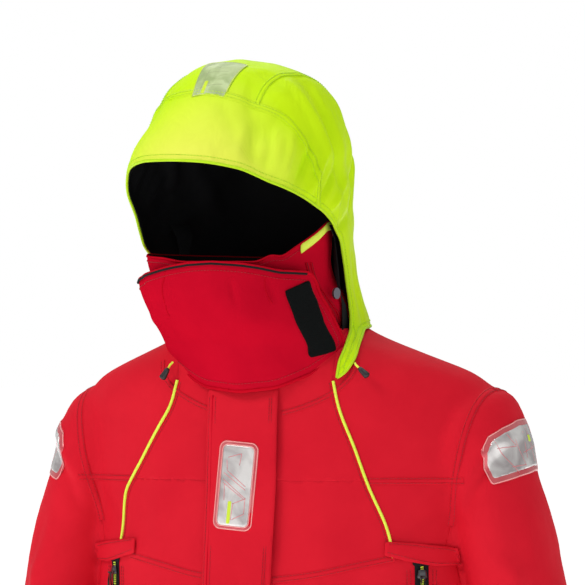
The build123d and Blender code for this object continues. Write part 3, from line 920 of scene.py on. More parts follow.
def body_panels(skin):
    v, _ = skin
    skin = clip(skin, v[:, 2] - 0.019)
    skin = clip(skin, HEM_Z - skin[0][:, 2])
    back = clip(skin, SIDE_SEAM_Y - skin[0][:, 1])
    front = clip(skin, skin[0][:, 1] - SIDE_SEAM_Y)
    made = {
        "back_yoke": clip(back, YOKE_Z - back[0][:, 2]),
        "back_panel": clip(back, back[0][:, 2] - YOKE_Z),
    }
    for side, word in SIDES:
        half = clip(front, 0.0005 - front[0][:, 0] * side)
        high = clip(half, YOKE_Z - half[0][:, 2])
        outer = clip(high, -side_of_line(high[0], PIPING[side]))
        inner = clip(high, side_of_line(high[0], PIPING[side]))
        low = clip(half, half[0][:, 2] - YOKE_Z)
        seam_z = np.interp(np.abs(low[0][:, 0]), *np.array(CHEST_SEAM).T)
        middle = clip(low, seam_z - low[0][:, 2])
        bottom = clip(low, low[0][:, 2] - seam_z)
        made["front_yoke_" + word] = outer
        made["chest_panel_" + word] = join(inner, middle)
        made["front_panel_" + word] = bottom
    return made


def build_body():
    body_skin, sleeve_skin = split_skin()
    for name, mesh in body_panels(body_skin).items():
        swap = (name,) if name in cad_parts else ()
        make("cloth_" + name, thick(mesh), "jacket", RED, replaces=swap)
    return sleeve_skin


def bend_arm(ob):
    """Bake the transform of a piece of the upper sleeve into its mesh."""
    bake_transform(ob)


def build_sleeves(skin):
    for side, word in SIDES:
        arm = clip(skin, -skin[0][:, 0] * side)
        arm = clip(arm, WRIST_Z - arm[0][:, 2])
        upper = clip(arm, ELBOW_Z - arm[0][:, 2])
        lower = clip(arm, arm[0][:, 2] - ELBOW_Z)
        cuff = clip(lower, lower[0][:, 2] - CUFF_Z)
        fore = clip(lower, CUFF_Z - lower[0][:, 2])
        bend_arm(stand_in("upper_sleeve_" + word, thick(upper), None, RED))
        low = stand_in("forearm_sleeve_" + word, thick(fore), None, RED)
        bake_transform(low)
        stand_in("cuff_" + word, thick(cuff), "forearm_" + word, RED)


build_sleeves(build_body())


# ---- hood ----
def opening_distance(side, f, z):
    """Metres inside the face opening, in the head's side view."""
    p = np.stack([f, z], axis=1)
    left = inside_distance(p, np.array(OPENING["left"]) * MM)
    right = inside_distance(p, np.array(OPENING["right"]) * MM)
    share = np.clip(side / 0.04 + 0.5, 0, 1)
    return left * share + right * (1 - share)


HOOD_FOLDS = [
    # start (sideways, up), end, width, depth
    ((0.050, 0.285), (0.112, 0.120), 0.007, -0.0050),
    ((0.066, 0.290), (0.119, 0.190), 0.008, 0.0045),
    ((0.030, 0.262), (0.095, 0.180), 0.006, -0.0030),
    ((0.060, 0.240), (0.085, 0.150), 0.005, 0.0035),
    ((0.072, 0.240), (0.100, 0.140), 0.004, -0.0035),
    ((0.088, 0.235), (0.108, 0.150), 0.005, 0.0035),
    ((0.110, 0.160), (0.113, 0.010), 0.008, 0.0030),
    ((-0.060, 0.240), (-0.090, 0.170), 0.006, 0.0030),
    ((-0.050, 0.285), (-0.112, 0.120), 0.008, -0.0040),
    ((-0.088, 0.235), (-0.108, 0.150), 0.005, 0.0030),
    ((-0.110, 0.160), (-0.113, 0.010), 0.008, 0.0030),
]
HOOD_PLEATS = [
    # start (forward, up), end, width, depth, on both sides of the hood
    ((0.100, 0.290), (0.074, 0.150), 0.008, -0.0060),
    ((0.125, 0.285), (0.100, 0.190), 0.007, 0.0050),
    ((0.186, 0.180), (0.166, 0.236), 0.0045, -0.0046),
    ((0.172, 0.172), (0.146, 0.228), 0.0040, 0.0040),
    ((0.158, 0.164), (0.126, 0.218), 0.0045, -0.0050),
    ((0.140, 0.156), (0.104, 0.208), 0.0040, 0.0042),
    ((0.124, 0.149), (0.084, 0.194), 0.0045, -0.0050),
    ((0.106, 0.140), (0.062, 0.176), 0.0045, 0.0042),
    ((0.094, 0.118), (0.050, 0.140), 0.0050, -0.0040),
    ((0.060, 0.230), (0.020, 0.120), 0.0100, -0.0055),
    ((0.010, 0.240), (-0.015, 0.100), 0.0120, 0.0050),
    ((0.045, 0.110), (0.030, 0.010), 0.0090, -0.0040),
]


def hood_shell():
    z = np.concatenate([np.arange(-0.040, 0.289, 0.0035), np.linspace(0.290, 0.3064, 14)])
    phi = np.linspace(0, 2 * math.pi, 241)[:-1]
    v, f = grid(HOOD, z, phi, closed=True)
    top = len(v)
    ring = np.arange(len(phi)) + (len(z) - 1) * len(phi)
    v = np.vstack([v, v[ring].mean(axis=0)])
    f = np.vstack([f, np.stack([ring, np.roll(ring, -1), np.full(len(phi), top)], axis=1)])
    n = normals((v, f))
    side, forward, up = head_frame(v)
    flat = np.stack([side, side, up], axis=1)
    push = ripple(v, 0.09, 0.0009, 11) + ripple(v, 0.035, 0.0003, 12)
    facing = np.tile([0.0, -1.0, 0.0], (len(v), 1))
    inland = np.clip(-opening_distance(side, forward, up) / 0.022, 0, 1)
    for a, b, width, depth in HOOD_FOLDS:
        push += fold(flat, facing, a, b, width, depth) * np.clip(1 - (forward - 0.20) / 0.06, 0, 1) * inland
    profile = np.stack([forward, forward, up], axis=1)
    for a, b, width, depth in HOOD_PLEATS:
        push += fold(profile, facing, a, b, width, depth) * np.clip(np.abs(side) / 0.03 - 1.6, 0, 1)
    v = v + n * (push * np.clip(inland + 0.35, 0, 1))[:, None]
    # the side hangs in close to the neck on the wearer's left
    close = np.interp(up, [0.10, 0.18, 0.26], [0.006, 0.004, 0.0]) * np.clip(side / 0.05, 0, 1)
    v[:, 0] -= close * math.cos(HEAD_TURN)
    v[:, 1] += close * math.sin(HEAD_TURN)
    v[:, 2] -= 0.0035 * np.clip((up - 0.20) / 0.10, 0, 1)
    return v, f


def drape_corner(v, lift):
    """The hood's lower front corner lies forward over the chest on the wearer's left."""
    v = v.copy()
    forward = head_frame(v)[1]
    direction = Vector((0.30, -0.95, 0)).normalized()
    for k in np.nonzero((forward > 0.015) & (v[:, 2] < 0.04) & (v[:, 0] > 0.03))[0]:
        at, up, _, _ = SKIN_TREE.find_nearest(Vector(v[k]))
        height = (Vector(v[k]) - at).dot(up)
        share = min(1.0, (forward[k] - 0.015) / 0.015)
        if height < 0:
            hit, up, _, distance = SKIN_TREE.ray_cast(Vector(v[k]), direction)
            if distance and distance < 0.07:
                v[k] = v[k] * (1 - share) + np.array(hit + up * lift) * share
        elif height < lift:
            v[k] += np.array(up) * (lift - height) * share
    return v


# The hood's front edge beside the neck in the head's side view: up, forward
FRONT_EDGE = [(-40, 84), (-6, 80), (29, 75), (53, 74), (89, 80), (112, 85), (131, 98)]
# Where the facing meets the collar: height, degrees from the front
FACING_FOOT = [(128, 112), (114, 114), (101, 112), (80, 108), (63, 101), (44, 92), (21, 80), (0, 68),
               (-14, 64)]


def build_hood_facing():
    """Black facing between the collar and the hood's front edge, on both sides of the neck."""
    heights, neck = np.array(FACING_FOOT, float).T
    forward = np.interp(heights, *np.array(FRONT_EDGE).T) * MM
    r = rows_at(HOOD, heights) * MM
    reach = r[:, 2] * np.sqrt(1 - ((forward - r[:, 0]) / r[:, 3]) ** 2)
    heights = heights * MM
    share = np.linspace(0, 1, 12)[None, :, None]
    halves = []
    for side, _ in SIDES:
        edge = zip(side * (reach - 0.010), forward - 0.004, heights)
        outer = np.array([head_point(*place) for place in edge])
        inner = ring_point(COLLAR, np.maximum(heights, 0.004), np.radians(side * neck), 0.001)
        points = inner[:, None] * (1 - share) + outer[:, None] * share
        halves.append((points.reshape(-1, 3), quads(*points.shape[:2])[:, ::-side]))
    make("cloth_hood_front_facing", thick(join(*halves), 0.0006), "hood", BLACK)


HOOD_SKIN = hood_shell()
HOOD_TREE = tree(HOOD_SKIN)


def trim_hood(mesh, lift=0.0034):
    """Open the face and rest the lower edge on the shoulders."""
    mesh = clip(mesh, opening_distance(*head_frame(mesh[0])))
    _, forward, up = head_frame(mesh[0])
    floor = np.interp(forward, [-0.02, 0.02, 0.035, 0.047, 0.055, 0.072, 0.09],
                      [0.022, 0.019, 0.015, 0.0, -0.015, -0.029, -0.036])
    v, f = clip(mesh, floor - up)
    v = drape_corner(v, lift)
    height = []
    for p in v:
        at, up, _, _ = SKIN_TREE.find_nearest(Vector(p))
        height.append((Vector(p) - at).dot(up) if p[2] < 0.05 else 1.0)
    return clip((v, f), lift / 2 - np.array(height))


CROWN_HALF = 0.062


def peak_side(v):
    """Metres in front of the seam between the hood's peak and its crown."""
    _, f, z = head_frame(v)
    line = np.interp(z, [0.12, 0.195, 0.242, 0.266, 0.318], [0.116, 0.128, 0.150, 0.184, 0.26])
    return f - line


def build_hood():
    shell = trim_hood(HOOD_SKIN)
    peak = clip(shell, -peak_side(shell[0]))
    rest = clip(shell, peak_side(shell[0]))
    v = head_frame(rest[0])[0]
    parts = {
        "hood_peak": peak,
        "hood_crown_panel": clip(rest, np.abs(v) - CROWN_HALF),
        "hood_side_left": clip(rest, CROWN_HALF - v),
        "hood_side_right": clip(rest, CROWN_HALF + v),
    }
    for name, mesh in parts.items():
        stand_in(name, thick(mesh, 0.0010), "hood", LIME)
    v, f = HOOD_SKIN
    inner = trim_hood((v - normals(HOOD_SKIN) * 0.0016, f), 0.0014)
    stand_in("hood_lining", thick(inner, 0.0006), "hood", BLACK)


build_hood()
build_hood_facing()


# ---- collar and face guard ----
COLLAR_TOP = [(-180, 92), (-60, 97), (-55, 95), (-21, 93), (-4, 89), (47, 89), (56, 97), (63, 94), (76, 107),
              (90, 119), (103, 131), (116, 133), (130, 118), (150, 98), (180, 92)]


def build_collar():
    phi = np.linspace(-math.pi, math.pi, 241)[:-1]
    z = np.linspace(0.006, 0.138, 48)
    v, f = grid(COLLAR, z, phi, closed=True)
    n = normals((v, f))
    v = v + n * ripple(v, 0.07, 0.0009, 21)[:, None]
    # it leans in to the neck on the wearer's left
    v[:, 0] -= 0.004 * np.clip(head_frame(v)[0] / 0.06, 0, 1)
    angles = np.degrees(np.tile(phi, len(z)))
    over = v[:, 2] - np.interp(angles, *np.array(COLLAR_TOP).T) * MM
    stand = clip((v, f), over)
    stand_in("collar_stand", thick(stand), "jacket", RED_PAINTED_SHADE)
    inner = clip((v - n * 0.0018, f), over)
    stand_in("collar_lining", thick(inner, 0.0006), "jacket", BLACK)
    edge_roll("collar_edge", stand, 0.0013, "jacket", RED_EDGE_PAINTED_SHADE, THREAD_RED, inset=0.005)
    return stand


GUARD_PHI, GUARD_Z = np.linspace(-104, 92, 200), np.linspace(-0.056, 0.094, 76)
GUARD_FOLDS = [
    # start (x, z), end, width, depth
    ((-0.076, 0.080), (-0.078, 0.046), 0.0035, -0.0022), ((-0.078, 0.044), (-0.080, 0.030), 0.010, 0.0022),
    ((0.036, 0.074), (0.041, 0.046), 0.0035, -0.0018), ((-0.115, 0.078), (-0.110, 0.040), 0.004, -0.0030),
    ((-0.110, 0.038), (-0.108, 0.022), 0.009, 0.0030), ((0.000, 0.072), (0.004, 0.045), 0.004, -0.0020),
    ((-0.150, 0.020), (-0.060, -0.020), 0.012, 0.0025), ((-0.040, 0.060), (0.060, 0.010), 0.016, 0.0020),
]


def guard_skin():
    v, f = grid(GUARD, GUARD_Z, np.radians(GUARD_PHI))
    n = normals((v, f))
    push = ripple(v, 0.06, 0.0010, 31)
    for a, b, width, depth in GUARD_FOLDS:
        push += fold(v, n, a, b, width, depth)
    return v + n * push[:, None], f


GUARD_TOP = [(-104, 58), (-54, 68), (-33, 75), (-11, 82.5), (6, 87.5), (20, 89), (36, 87), (45, 84.5),
             (58, 79.5), (75, 78), (92, 78)]
GUARD_FOOT = [(-104, 4), (-66, -10), (-44, -26), (-23, -43), (0, -47.5), (23, -43), (45, -28), (62, -8.5),
              (70, -5), (92, 4)]
GUARD_END = [(-60, 52), (-8, 64), (-5, 69), (12, 76), (27, 80.5), (42, 83), (68, 82), (78, 78), (100, 77)]


def trim_guard(v, f, phi):
    """Cut the face guard to its outline; phi is in degrees for each vertex of the whole grid."""
    z = v[:, 2] / MM
    top = z - np.interp(phi, *np.array(GUARD_TOP).T)
    foot = np.interp(phi, *np.array(GUARD_FOOT).T) - z
    end = (phi - np.interp(z, *np.array(GUARD_END).T)) * 1.9
    return clip((v, f), np.maximum(np.maximum(top, foot), end) * MM)


def swing_guard(ob):
    """Bake the transform of a piece of the face guard into its mesh."""
    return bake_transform(ob)


HOOK_PAD = [(60.8, 0.0588), (76.8, 0.0695), (77.0, 0.0514), (72.5, 0.0332), (66.2, 0.0150), (61.8, -0.0032),
            (45.2, -0.0107), (48.5, 0.0070), (53.5, 0.0246), (57.7, 0.0417)]
HOOK_PAD_SEWN = [(62.2, 0.0572), (75.4, 0.0665), (75.6, 0.0514), (71.0, 0.0332), (64.8, 0.0150),
                 (60.6, -0.0012), (46.9, -0.0078), (50.0, 0.0070), (55.0, 0.0246), (59.1, 0.0417)]
GUARD_DARTS = ([(-10.5, 0.079), (-19, 0.046)], [(-19, 0.044), (-21, 0.034)], [(49.5, 0.075), (48, 0.046)])


def build_guard():
    v, f = guard_skin()
    phi = np.tile(GUARD_PHI, len(GUARD_Z))
    shell = trim_guard(v, f, phi)
    inner = trim_guard(v - normals((v, f)) * 0.0018, f, phi)
    place = on_form(GUARD, tree(shell))
    rim = [(a, (b - 1.2) * MM) for a, b in GUARD_TOP if -60 < a < 76]
    bent = [
        stand_in("face_guard", thick(shell), None, RED_PAINTED_SHADE),
        stand_in("face_guard_lining", thick(inner, 0.0008), None, BLACK),
        *edge_roll("face_guard_rolled_edge", shell, 0.0019, None, RED_EDGE_PAINTED_SHADE, THREAD_RED, inset=0.008, rise=0.8),
        make("face_guard_top_lining", laid_cord(rim, place, 0.0013, 0.0009), None, BLACK),
    ]
    for ob in bent:
        swing_guard(ob)
    body = "face_guard_panel"
    pad = laid(flat_piece(HOOK_PAD, 0.003, 0.002, (0.0019, 1)), place, 0.0006, 0.0022, 0.0012)
    stand_in("hook_and_loop_patch", pad, body, HOOK, "hook_and_loop_pad")
    thread = sewn(HOOK_PAD_SEWN + HOOK_PAD_SEWN[:1], place, 0.0027, 0.4, rise=PRESSED)
    make("hook_and_loop_stitching", thread, body, PLASTIC)
    darts = [laid_cord(line, place, 0.0007, 0.0001, flat=0.6) for line in GUARD_DARTS]
    make("face_guard_darts", join(*darts), body, RED_EDGE_PAINTED_SHADE)


COLLAR_SHELL = build_collar()
build_guard()


def build_collar_trim():
    place = on_form(COLLAR, tree(COLLAR_SHELL))
    top = [(a, b) for a, b in COLLAR_TOP if 76 <= a <= 116]
    outline = [(a, (b - 9.5) * MM) for a, b in top] + [(a, (b + 0.5) * MM) for a, b in reversed(top)]
    strip_left = laid(flat_piece(outline, 0.0, 0.003, (0.0017, 1)), place, 0.0008, 0.0012, 0.001)
    inner = rect(-112, -88, 0.086, 0.094)
    strip_right = laid(flat_piece(inner, 0.001, 0.003, (0.0017, 1)), place, 0.0008, 0.0010, 0.001)
    stand_in("collar_strips", join(strip_left, strip_right), "jacket", LIME_TRIM)
    for number, shift in enumerate((0.0, 4.2)):
        line = [(80 + shift, 0.0885), (79.3 + shift, 0.059), (75.5 + shift, 0.043), (67.5 + shift, 0.017)]
        edge = laid_cord(line, place, 0.0011, 0.0004, step=0.4)
        make("collar_placket_edge_%d" % number, edge, "jacket", RED_EDGE_PAINTED_SHADE)
        shadow = laid_cord([(a + 1.1, b) for a, b in line], place, 0.0006, 0.0001, step=0.4)
        make("collar_placket_shadow_%d" % number, shadow, "jacket", BLACK)
    count = 15
    sag = 16 + 6 * np.sin(np.linspace(0, math.pi, count))
    loop = np.stack([np.linspace(-26, 14, count), sag, np.full(count, 30)], axis=1) * MM
    ups = np.tile([0.0, 1.0, 0.0], (count, 1))
    webbing = strip(loop, ups, rect(-4 * MM, 4 * MM, -0.5 * MM, 0.5 * MM), closed=True)
    stand_in("hang_loop", webbing, "jacket", BLACK)


build_collar_trim()


# ---- storm flap, main zip and its patch ----
FLAP = [(-0.047, -0.044), (0.031, -0.044), (0.030, -0.150), (0.0245, -0.250), (0.024, -0.735),
        (-0.053, -0.735), (-0.052, -0.250), (-0.0485, -0.150)]
FLAP_LIFT, FLAP_THICK = 0.0054, 0.0014


FLAP_TOP = FLAP_LIFT + FLAP_THICK + 0.0004
FLAP_LEFT, FLAP_RIGHT = FLAP[1:5], [FLAP[0], FLAP[7], FLAP[6], FLAP[5]]


def film_lines(lines, place, lift, radius=0.00045, step=0.004):
    """Fine raised lines pressed into a film or an edge."""
    return join(*[laid_cord(line, place, radius, lift, 0.5, step) for line in lines])


def open_flap(ob):
    """Bake the transform of a piece of the storm flap into its mesh."""
    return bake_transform(ob)


def build_storm_flap():
    piece = flat_piece(FLAP, 0.002, 0.0045)
    x, z = piece[0].T
    wave = 0.0005 * np.sin(z * 31) + 0.0004 * np.sin(z * 63 + 1)
    lift = FLAP_LIFT + wave * np.clip((x + 0.05) / 0.05, 0, 1) - 0.0014 * np.clip((z + 0.056) / 0.008, 0, 1)
    cloth = laid(piece, on_front, lift, FLAP_THICK + 0.0004, 0.0015)
    rows = []
    for inset, edge in ((0.0025, FLAP_RIGHT), (0.0095, FLAP_RIGHT),
                        (-0.006, FLAP_LEFT), (-0.0085, FLAP_LEFT)):
        line = [(a + inset, min(b, -0.053)) for a, b in edge]
        rows.append(sewn(line, on_front, FLAP_TOP, 0.006, rise=PRESSED))
    ridge = [[(a + 0.006, min(b, -0.052)) for a, b in FLAP_RIGHT]]
    pressed = film_lines(ridge, on_front, FLAP_LIFT + FLAP_THICK, 0.0010, 0.006)
    open_flap(stand_in("storm_flap", cloth, None, RED))
    open_flap(make("storm_flap_stitching", join(*rows), None, THREAD_RED))
    open_flap(make("storm_flap_pressed_edge", pressed, None, RED_EDGE_PAINTED_SHADE))
    body = "storm_flap_panel"
    hooks, pads = [], []
    for row in range(5):
        top = -0.132 - row * 0.130
        pad = flat_piece(rect(0.011, 0.026, top - 0.035, top), 0.003, 0.004)
        hooks.append(laid(pad, on_front, 0.0034, 0.0018, 0.001))
        pads.append(laid(pad, on_skin, 0.0004, 0.0014, 0.001))
    stand_in("storm_flap_hook_pads", join(*hooks), body, HOOK, "storm_flap_hooks")
    stand_in("storm_flap_loop_pads", join(*pads), "jacket", HOOK, "storm_flap_loops")


# The flap's patch leans a little; its outlines are in metres from its middle
PATCH_LEAN, PATCH_MIDDLE = math.radians(5), (-0.0135, -0.147)
PATCH_HALF, FILM_HALF = np.array([0.022, 0.047]), np.array([0.0172, 0.0425])
# Lines in the film, as shares of its half width and half height
FLAP_FILM_LINES = [
    [(-.62, .36), (.66, .0)], [(-.83, .30), (.66, -.08)], [(-.83, .14), (.70, -.29)],
    [(-.83, .06), (.60, -.31)], [(-.1, -.45), (.74, -.29)], [(.70, -.31), (.70, -.66)],
    [(-.06, -.84), (.74, -.67)], [(-.06, -.45), (-.13, -.86)], [(-.62, .69), (.23, .81)],
    [(.23, .81), (.15, .52)], [(-.70, .62), (-.62, .38)], [(-.72, .02), (-.66, -.38)],
]


def on_flap_patch(u, w, lift):
    """On the flap's patch: u across and w up, from its middle."""
    c, s = math.cos(PATCH_LEAN), math.sin(PATCH_LEAN)
    return on_front(PATCH_MIDDLE[0] + u * c + w * s, PATCH_MIDDLE[1] - u * s + w * c, lift)


def build_flap_patch():
    body, place = "storm_flap_panel", on_flap_patch

    def centred(half):
        return rect(-half[0], half[0], -half[1], half[1])

    clear = laid(flat_piece(centred(PATCH_HALF), 0.008, 0.002), place, FLAP_TOP, 0.0006, 0.001)
    stand_in("storm_flap_patch", clear, body, FILM_EDGE, "flap_patch_clear_border")
    film = laid(flat_piece(centred(FILM_HALF), 0.005, 0.002), place, FLAP_TOP + 0.0006, 0.0005, 0.001)
    make("flap_patch_silver_film", film, body, FILM)
    ridges = []
    turn = np.linspace(0, 2 * math.pi, 97)
    circle = np.stack([np.cos(turn), np.sin(turn)], axis=1)
    for inset, corner in ((0.0008, 0.008), (0.0040, 0.006)):
        core = np.clip(circle * 9, -1, 1) * (PATCH_HALF - inset - corner)
        ridges.append(laid_cord(core + corner * circle, place, 0.0006, FLAP_TOP + 0.0006, step=0.002))
    make("flap_patch_ridges", join(*ridges), body, FILM_RIDGE)
    lines = [np.array(line) * FILM_HALF for line in FLAP_FILM_LINES]
    make("flap_patch_film_lines", film_lines(lines, place, FLAP_TOP + 0.0010), body, FILM_LINE)
    bar = flat_piece(rect(-0.0068, -0.0028, -0.0405, -0.0165), 0.001, 0.001)
    make("flap_patch_lime_bar", laid(bar, place, FLAP_TOP + 0.0010, 0.0004, 0.0006), body, LIME_BAR)


def teeth_rows(x, z0, z1, count, place, lift, gap, size, ease=0):
    """Two rows of zip teeth that meet in the middle, down a straight line."""
    line = np.stack([np.full(count, x), np.linspace(z0, z1, count)], axis=1)
    base = place(*line.T, lift)
    ups = (place(*line.T, lift + 0.01) - base) * 100
    base = soften(base, ease)
    sides = np.cross(tangents(base), ups)
    sides /= np.linalg.norm(sides, axis=1)[:, None]
    middle = base + ups * size * 0.5
    return join(*[stitches(middle + sides * gap * k, ups, size * 1.5, size, size) for k in (-1, 1)])


def build_main_zip():
    tapes = [laid(flat_piece(rect(x0, x1, -0.746, -0.040), 0.001, 0.0036), on_front, 0.0006, 0.0008)
             for x0, x1 in ((-0.015, -0.0042), (-0.0018, 0.009))]
    stand_in("main_zip_tapes", join(*tapes), "jacket", BLACK)
    teeth = teeth_rows(-0.003, -0.044, -0.742, 200, on_front, 0.0016, 0.0010, 0.0011)
    stand_in("main_zip_teeth", teeth, "jacket", PLASTIC, "main_zip_tooth_rows")
    outline = [(-0.0080, -0.054), (0.0020, -0.054), (0.0005, -0.042), (-0.0065, -0.042)]
    plate = laid(flat_piece(outline, 0.0022, 0.001), on_front, 0.0040, 0.0009, 0.0008)
    stand_in("main_zip_slider", plate, "main_slider", METAL, "main_zip_slider_plate")


build_storm_flap()
build_flap_patch()
build_main_zip()


# ---- piping, seams and hems ----
def body_line(points, side=1, back=False):
    """Even points on the red skin under an (x, z) line, and their directions."""
    p = smooth_line([(side * x, 0.0, z) for x, z in points], 0.0035)[:, [0, 2]]
    places, ups = from_front(p, back)
    return soften(places, 2), soften(ups, 3)


def around(centre, reach, count, turn=lambda d: d):
    """Points where rays from a centre, level unless turned, meet the skin."""
    ways = [turn(Vector((math.sin(a), -math.cos(a), 0))) for a in np.linspace(0, 2 * math.pi, count)]
    hits = [SKIN_TREE.ray_cast(Vector(centre), way, reach) for way in ways]
    places, ups = places_ups([hit for hit in hits if hit[0] is not None])
    return soften(places, 3), soften(ups, 3)


NECK_SEAM = [(0.034, -0.070), (0.055, -0.064), (0.076, -0.055), (0.094, -0.044), (0.106, -0.030),
             (0.110, -0.016)]
YOKE_SEAM_START = {1: 0.124, -1: 0.148}
# The side seam shows where a level ray from the middle meets the body before the sleeve
SIDE_SEAM_REACH = 0.24
# The armhole seam is found from a centre this far below the shoulder's top, and within this radius of it
ARMHOLE_DOWN, ARMHOLE_RADIUS = 0.073, 0.11


def side_seam(side):
    starts = [Vector((0.0, SIDE_SEAM_Y, z)) for z in np.linspace(-0.262, -0.752, 120)]
    hits = [SKIN_TREE.ray_cast(start, Vector((side, 0, 0)), 0.5) for start in starts]
    places, ups = places_ups([hit for hit in hits if hit[0] is not None and abs(hit[0].x) < SIDE_SEAM_REACH])
    return soften(places, 3), ups


def armhole_seam(side):
    inward = ARMHOLE_DOWN * math.tan(ARMHOLE_LEAN)
    centre = Vector((side * (ARMHOLE_X - inward), -0.02, ARMHOLE_Z - ARMHOLE_DOWN))
    leaning = Vector((side * math.sin(ARMHOLE_LEAN), 0, math.cos(ARMHOLE_LEAN)))
    p, up = around(centre, 0.3, 110, turn=lambda d: Vector((0, 1, 0)) * d.x + leaning * -d.y)
    low = int(np.argmin(p[:, 2]))
    p, up = np.roll(p, -low, axis=0), np.roll(up, -low, axis=0)
    shown = (p[:, 2] > ARMPIT_Z + 0.004) & (np.linalg.norm(p - np.array(centre), axis=1) < ARMHOLE_RADIUS)
    return p[shown], up[shown]


def build_seams():
    cords = []
    for side, word in SIDES:
        p, up = body_line(PIPING[side], side)
        cords.append(strip(p + up * 0.0009, up, round_profile(0.0016, 8), closed=True))
        beside = p + np.cross(tangents(p), up) * side * 0.0045
        make("piping_stitching_" + word, stitches(*nearest(SKIN_TREE, beside, 0.0003)), "jacket", THREAD_RED)
        yoke = [(x, YOKE_Z) for x in (YOKE_SEAM_START[side], 0.18, 0.2185)]
        seam("yoke_seam_" + word, *body_line(yoke, side))
        seam("chest_seam_" + word, *body_line([(0.026, -0.2455)] + CHEST_SEAM[2:], side))
        seam("neck_seam_" + word, *body_line(NECK_SEAM, side), width=0.006)
        seam("side_seam_" + word, *side_seam(side))
        seam("armhole_seam_" + word, *armhole_seam(side), width=0.0085)
        for name, z in (("cuff_seam_", CUFF_Z), ("cuff_hem_", WRIST_Z + 0.009)):
            r = rows_at(ARM, np.array([z * 1000]))[0] * MM
            seam(name + word, *around((side * r[4], -r[0], z), 0.2, 70), width=0.006, body="forearm_" + word)
    stand_in("chest_piping", join(*cords), "jacket", LIME_TRIM)
    across = [(x, YOKE_Z) for x in np.linspace(-0.215, 0.215, 12)]
    seam("back_yoke_seam", *body_line(across, back=True))
    seam("hem_stitch_band", *around((0, 0, HEM_Z + 0.020), 0.5, 260), width=0.006, rows=(1,))


build_seams()


def build_inside():
    """The body's lining and the hem facing."""
    skin = split_skin()[0]
    v, f = skin
    n = normals(skin)
    lining = clip((v - n * 0.0046, f), v[:, 2] - 0.017)
    lining = clip(lining, HEM_Z + 0.006 - lining[0][:, 2])
    stand_in("body_lining", thick(lining, 0.0006), "jacket", BLACK)
    facing = (v - n * 0.0018, f)
    facing = clip(facing, facing[0][:, 2] - (HEM_Z + 0.045))
    facing = clip(facing, HEM_Z + 0.0005 - facing[0][:, 2])
    stand_in("hem_facing", thick(facing, 0.0010), "jacket", BLACK)


build_inside()


# ---- pockets ----
def both_sides(piece, place, *heights):
    """A flat piece on the wearer's left and its twin on the right, as one mesh."""
    return join(*[laid(piece, front_at(side, place), *heights) for side, _ in SIDES])


def front_at(side, place):
    """Lay things on a front surface by x as it is on the wearer's left."""
    return lambda x, z, lift: place(np.asarray(x) * side, np.asarray(z), lift)


ZIP_X, ZIP_TOP, ZIP_FOOT = 0.173, -0.230, -0.393
COVER = [(0.140, -0.205), (0.140, -0.2185), (0.184, -0.231), (0.207, -0.2295), (0.207, -0.213),
         (0.184, -0.210)]
PULL_TURN = math.radians(39)


def pull_place(side, a, b, c):
    """Places in a zip pull's own turned axes, millimetres from the chest under its bar."""
    x = 173 + a * math.cos(PULL_TURN) - b * math.sin(PULL_TURN)
    y = -98.27 + a * math.sin(PULL_TURN) + b * math.cos(PULL_TURN)
    return np.array([side * x, y, -242 + c]) * MM


def round_bar(spine, across, depth, radius, count, flat=1.0):
    """A closed bar round a spine; across and depth are directions and radius has a value for each place."""
    turn = np.linspace(0, 2 * math.pi, count + 1)[:-1]
    sideways = across[:, None] * (radius[:, None] * np.cos(turn))[:, :, None]
    v = spine[:, None] + sideways + depth * (radius[:, None] * flat * np.sin(turn))[:, :, None]
    return capped((v.reshape(-1, 3), quads(len(spine), count, closed=True)), count)


def build_pull(side, word):
    """The corded pull: a bar through the slider, two cords and their two grips."""
    body = "chest_pull_" + word
    cords, grips = [], []
    steps = np.linspace(0, 1, 15)
    out = pull_place(side, 0, -8, 0) - pull_place(side, 0, -7, 0)
    out = out / np.linalg.norm(out)
    half = 0.0025 * np.sqrt(np.clip(1 - np.abs(2 * steps - 1) ** 5, 0.02, 1)) * (1 - 0.1 * np.cos(steps * 44))
    for k in (-1, 1):
        path = [pull_place(side, k * a, b, c) for a, b, c in ((1.8, -7, 0), (2.3, -7.3, -7), (3.4, -7, -17))]
        cords.append(tube(smooth_line(path, 0.0015), 0.0011))
        spine = np.array([pull_place(side, k * (3.2 + 2.6 * t), -7, -15 - 29 * t) for t in steps])
        across = np.cross(tangents(spine), np.tile(out, (len(steps), 1)))
        grips.append(round_bar(spine, across, out, half, 12, 0.62))
    bar = np.array([pull_place(side, a, -7, 0) for a in (-3.2, 0, 3.2)])
    cords.append(tube(bar, 0.0011, up=(0, 1, 0)))
    make("zip_pull_cords_" + word, join(*cords), body, PLASTIC)
    stand_in("chest_zip_pull_" + word, join(*grips), body, GRIP, "zip_pull_grips_" + word)


# Rows of stitching round the pocket's mouth, each with its height off the skin
POCKET_ROWS = [
    ([(0.142, -0.2165), (0.184, -0.2285), (0.204, -0.2275)], 0.0042),
    ([(0.143, -0.207), (0.184, -0.212), (0.204, -0.215)], 0.0042),
] + [([(x, -0.234), (x, -0.396)], 0.0003) for x in (0.1635, 0.1605, 0.1825, 0.1855)]
SLIDER_LIFT = {1: 0.0034, -1: 0.0020}


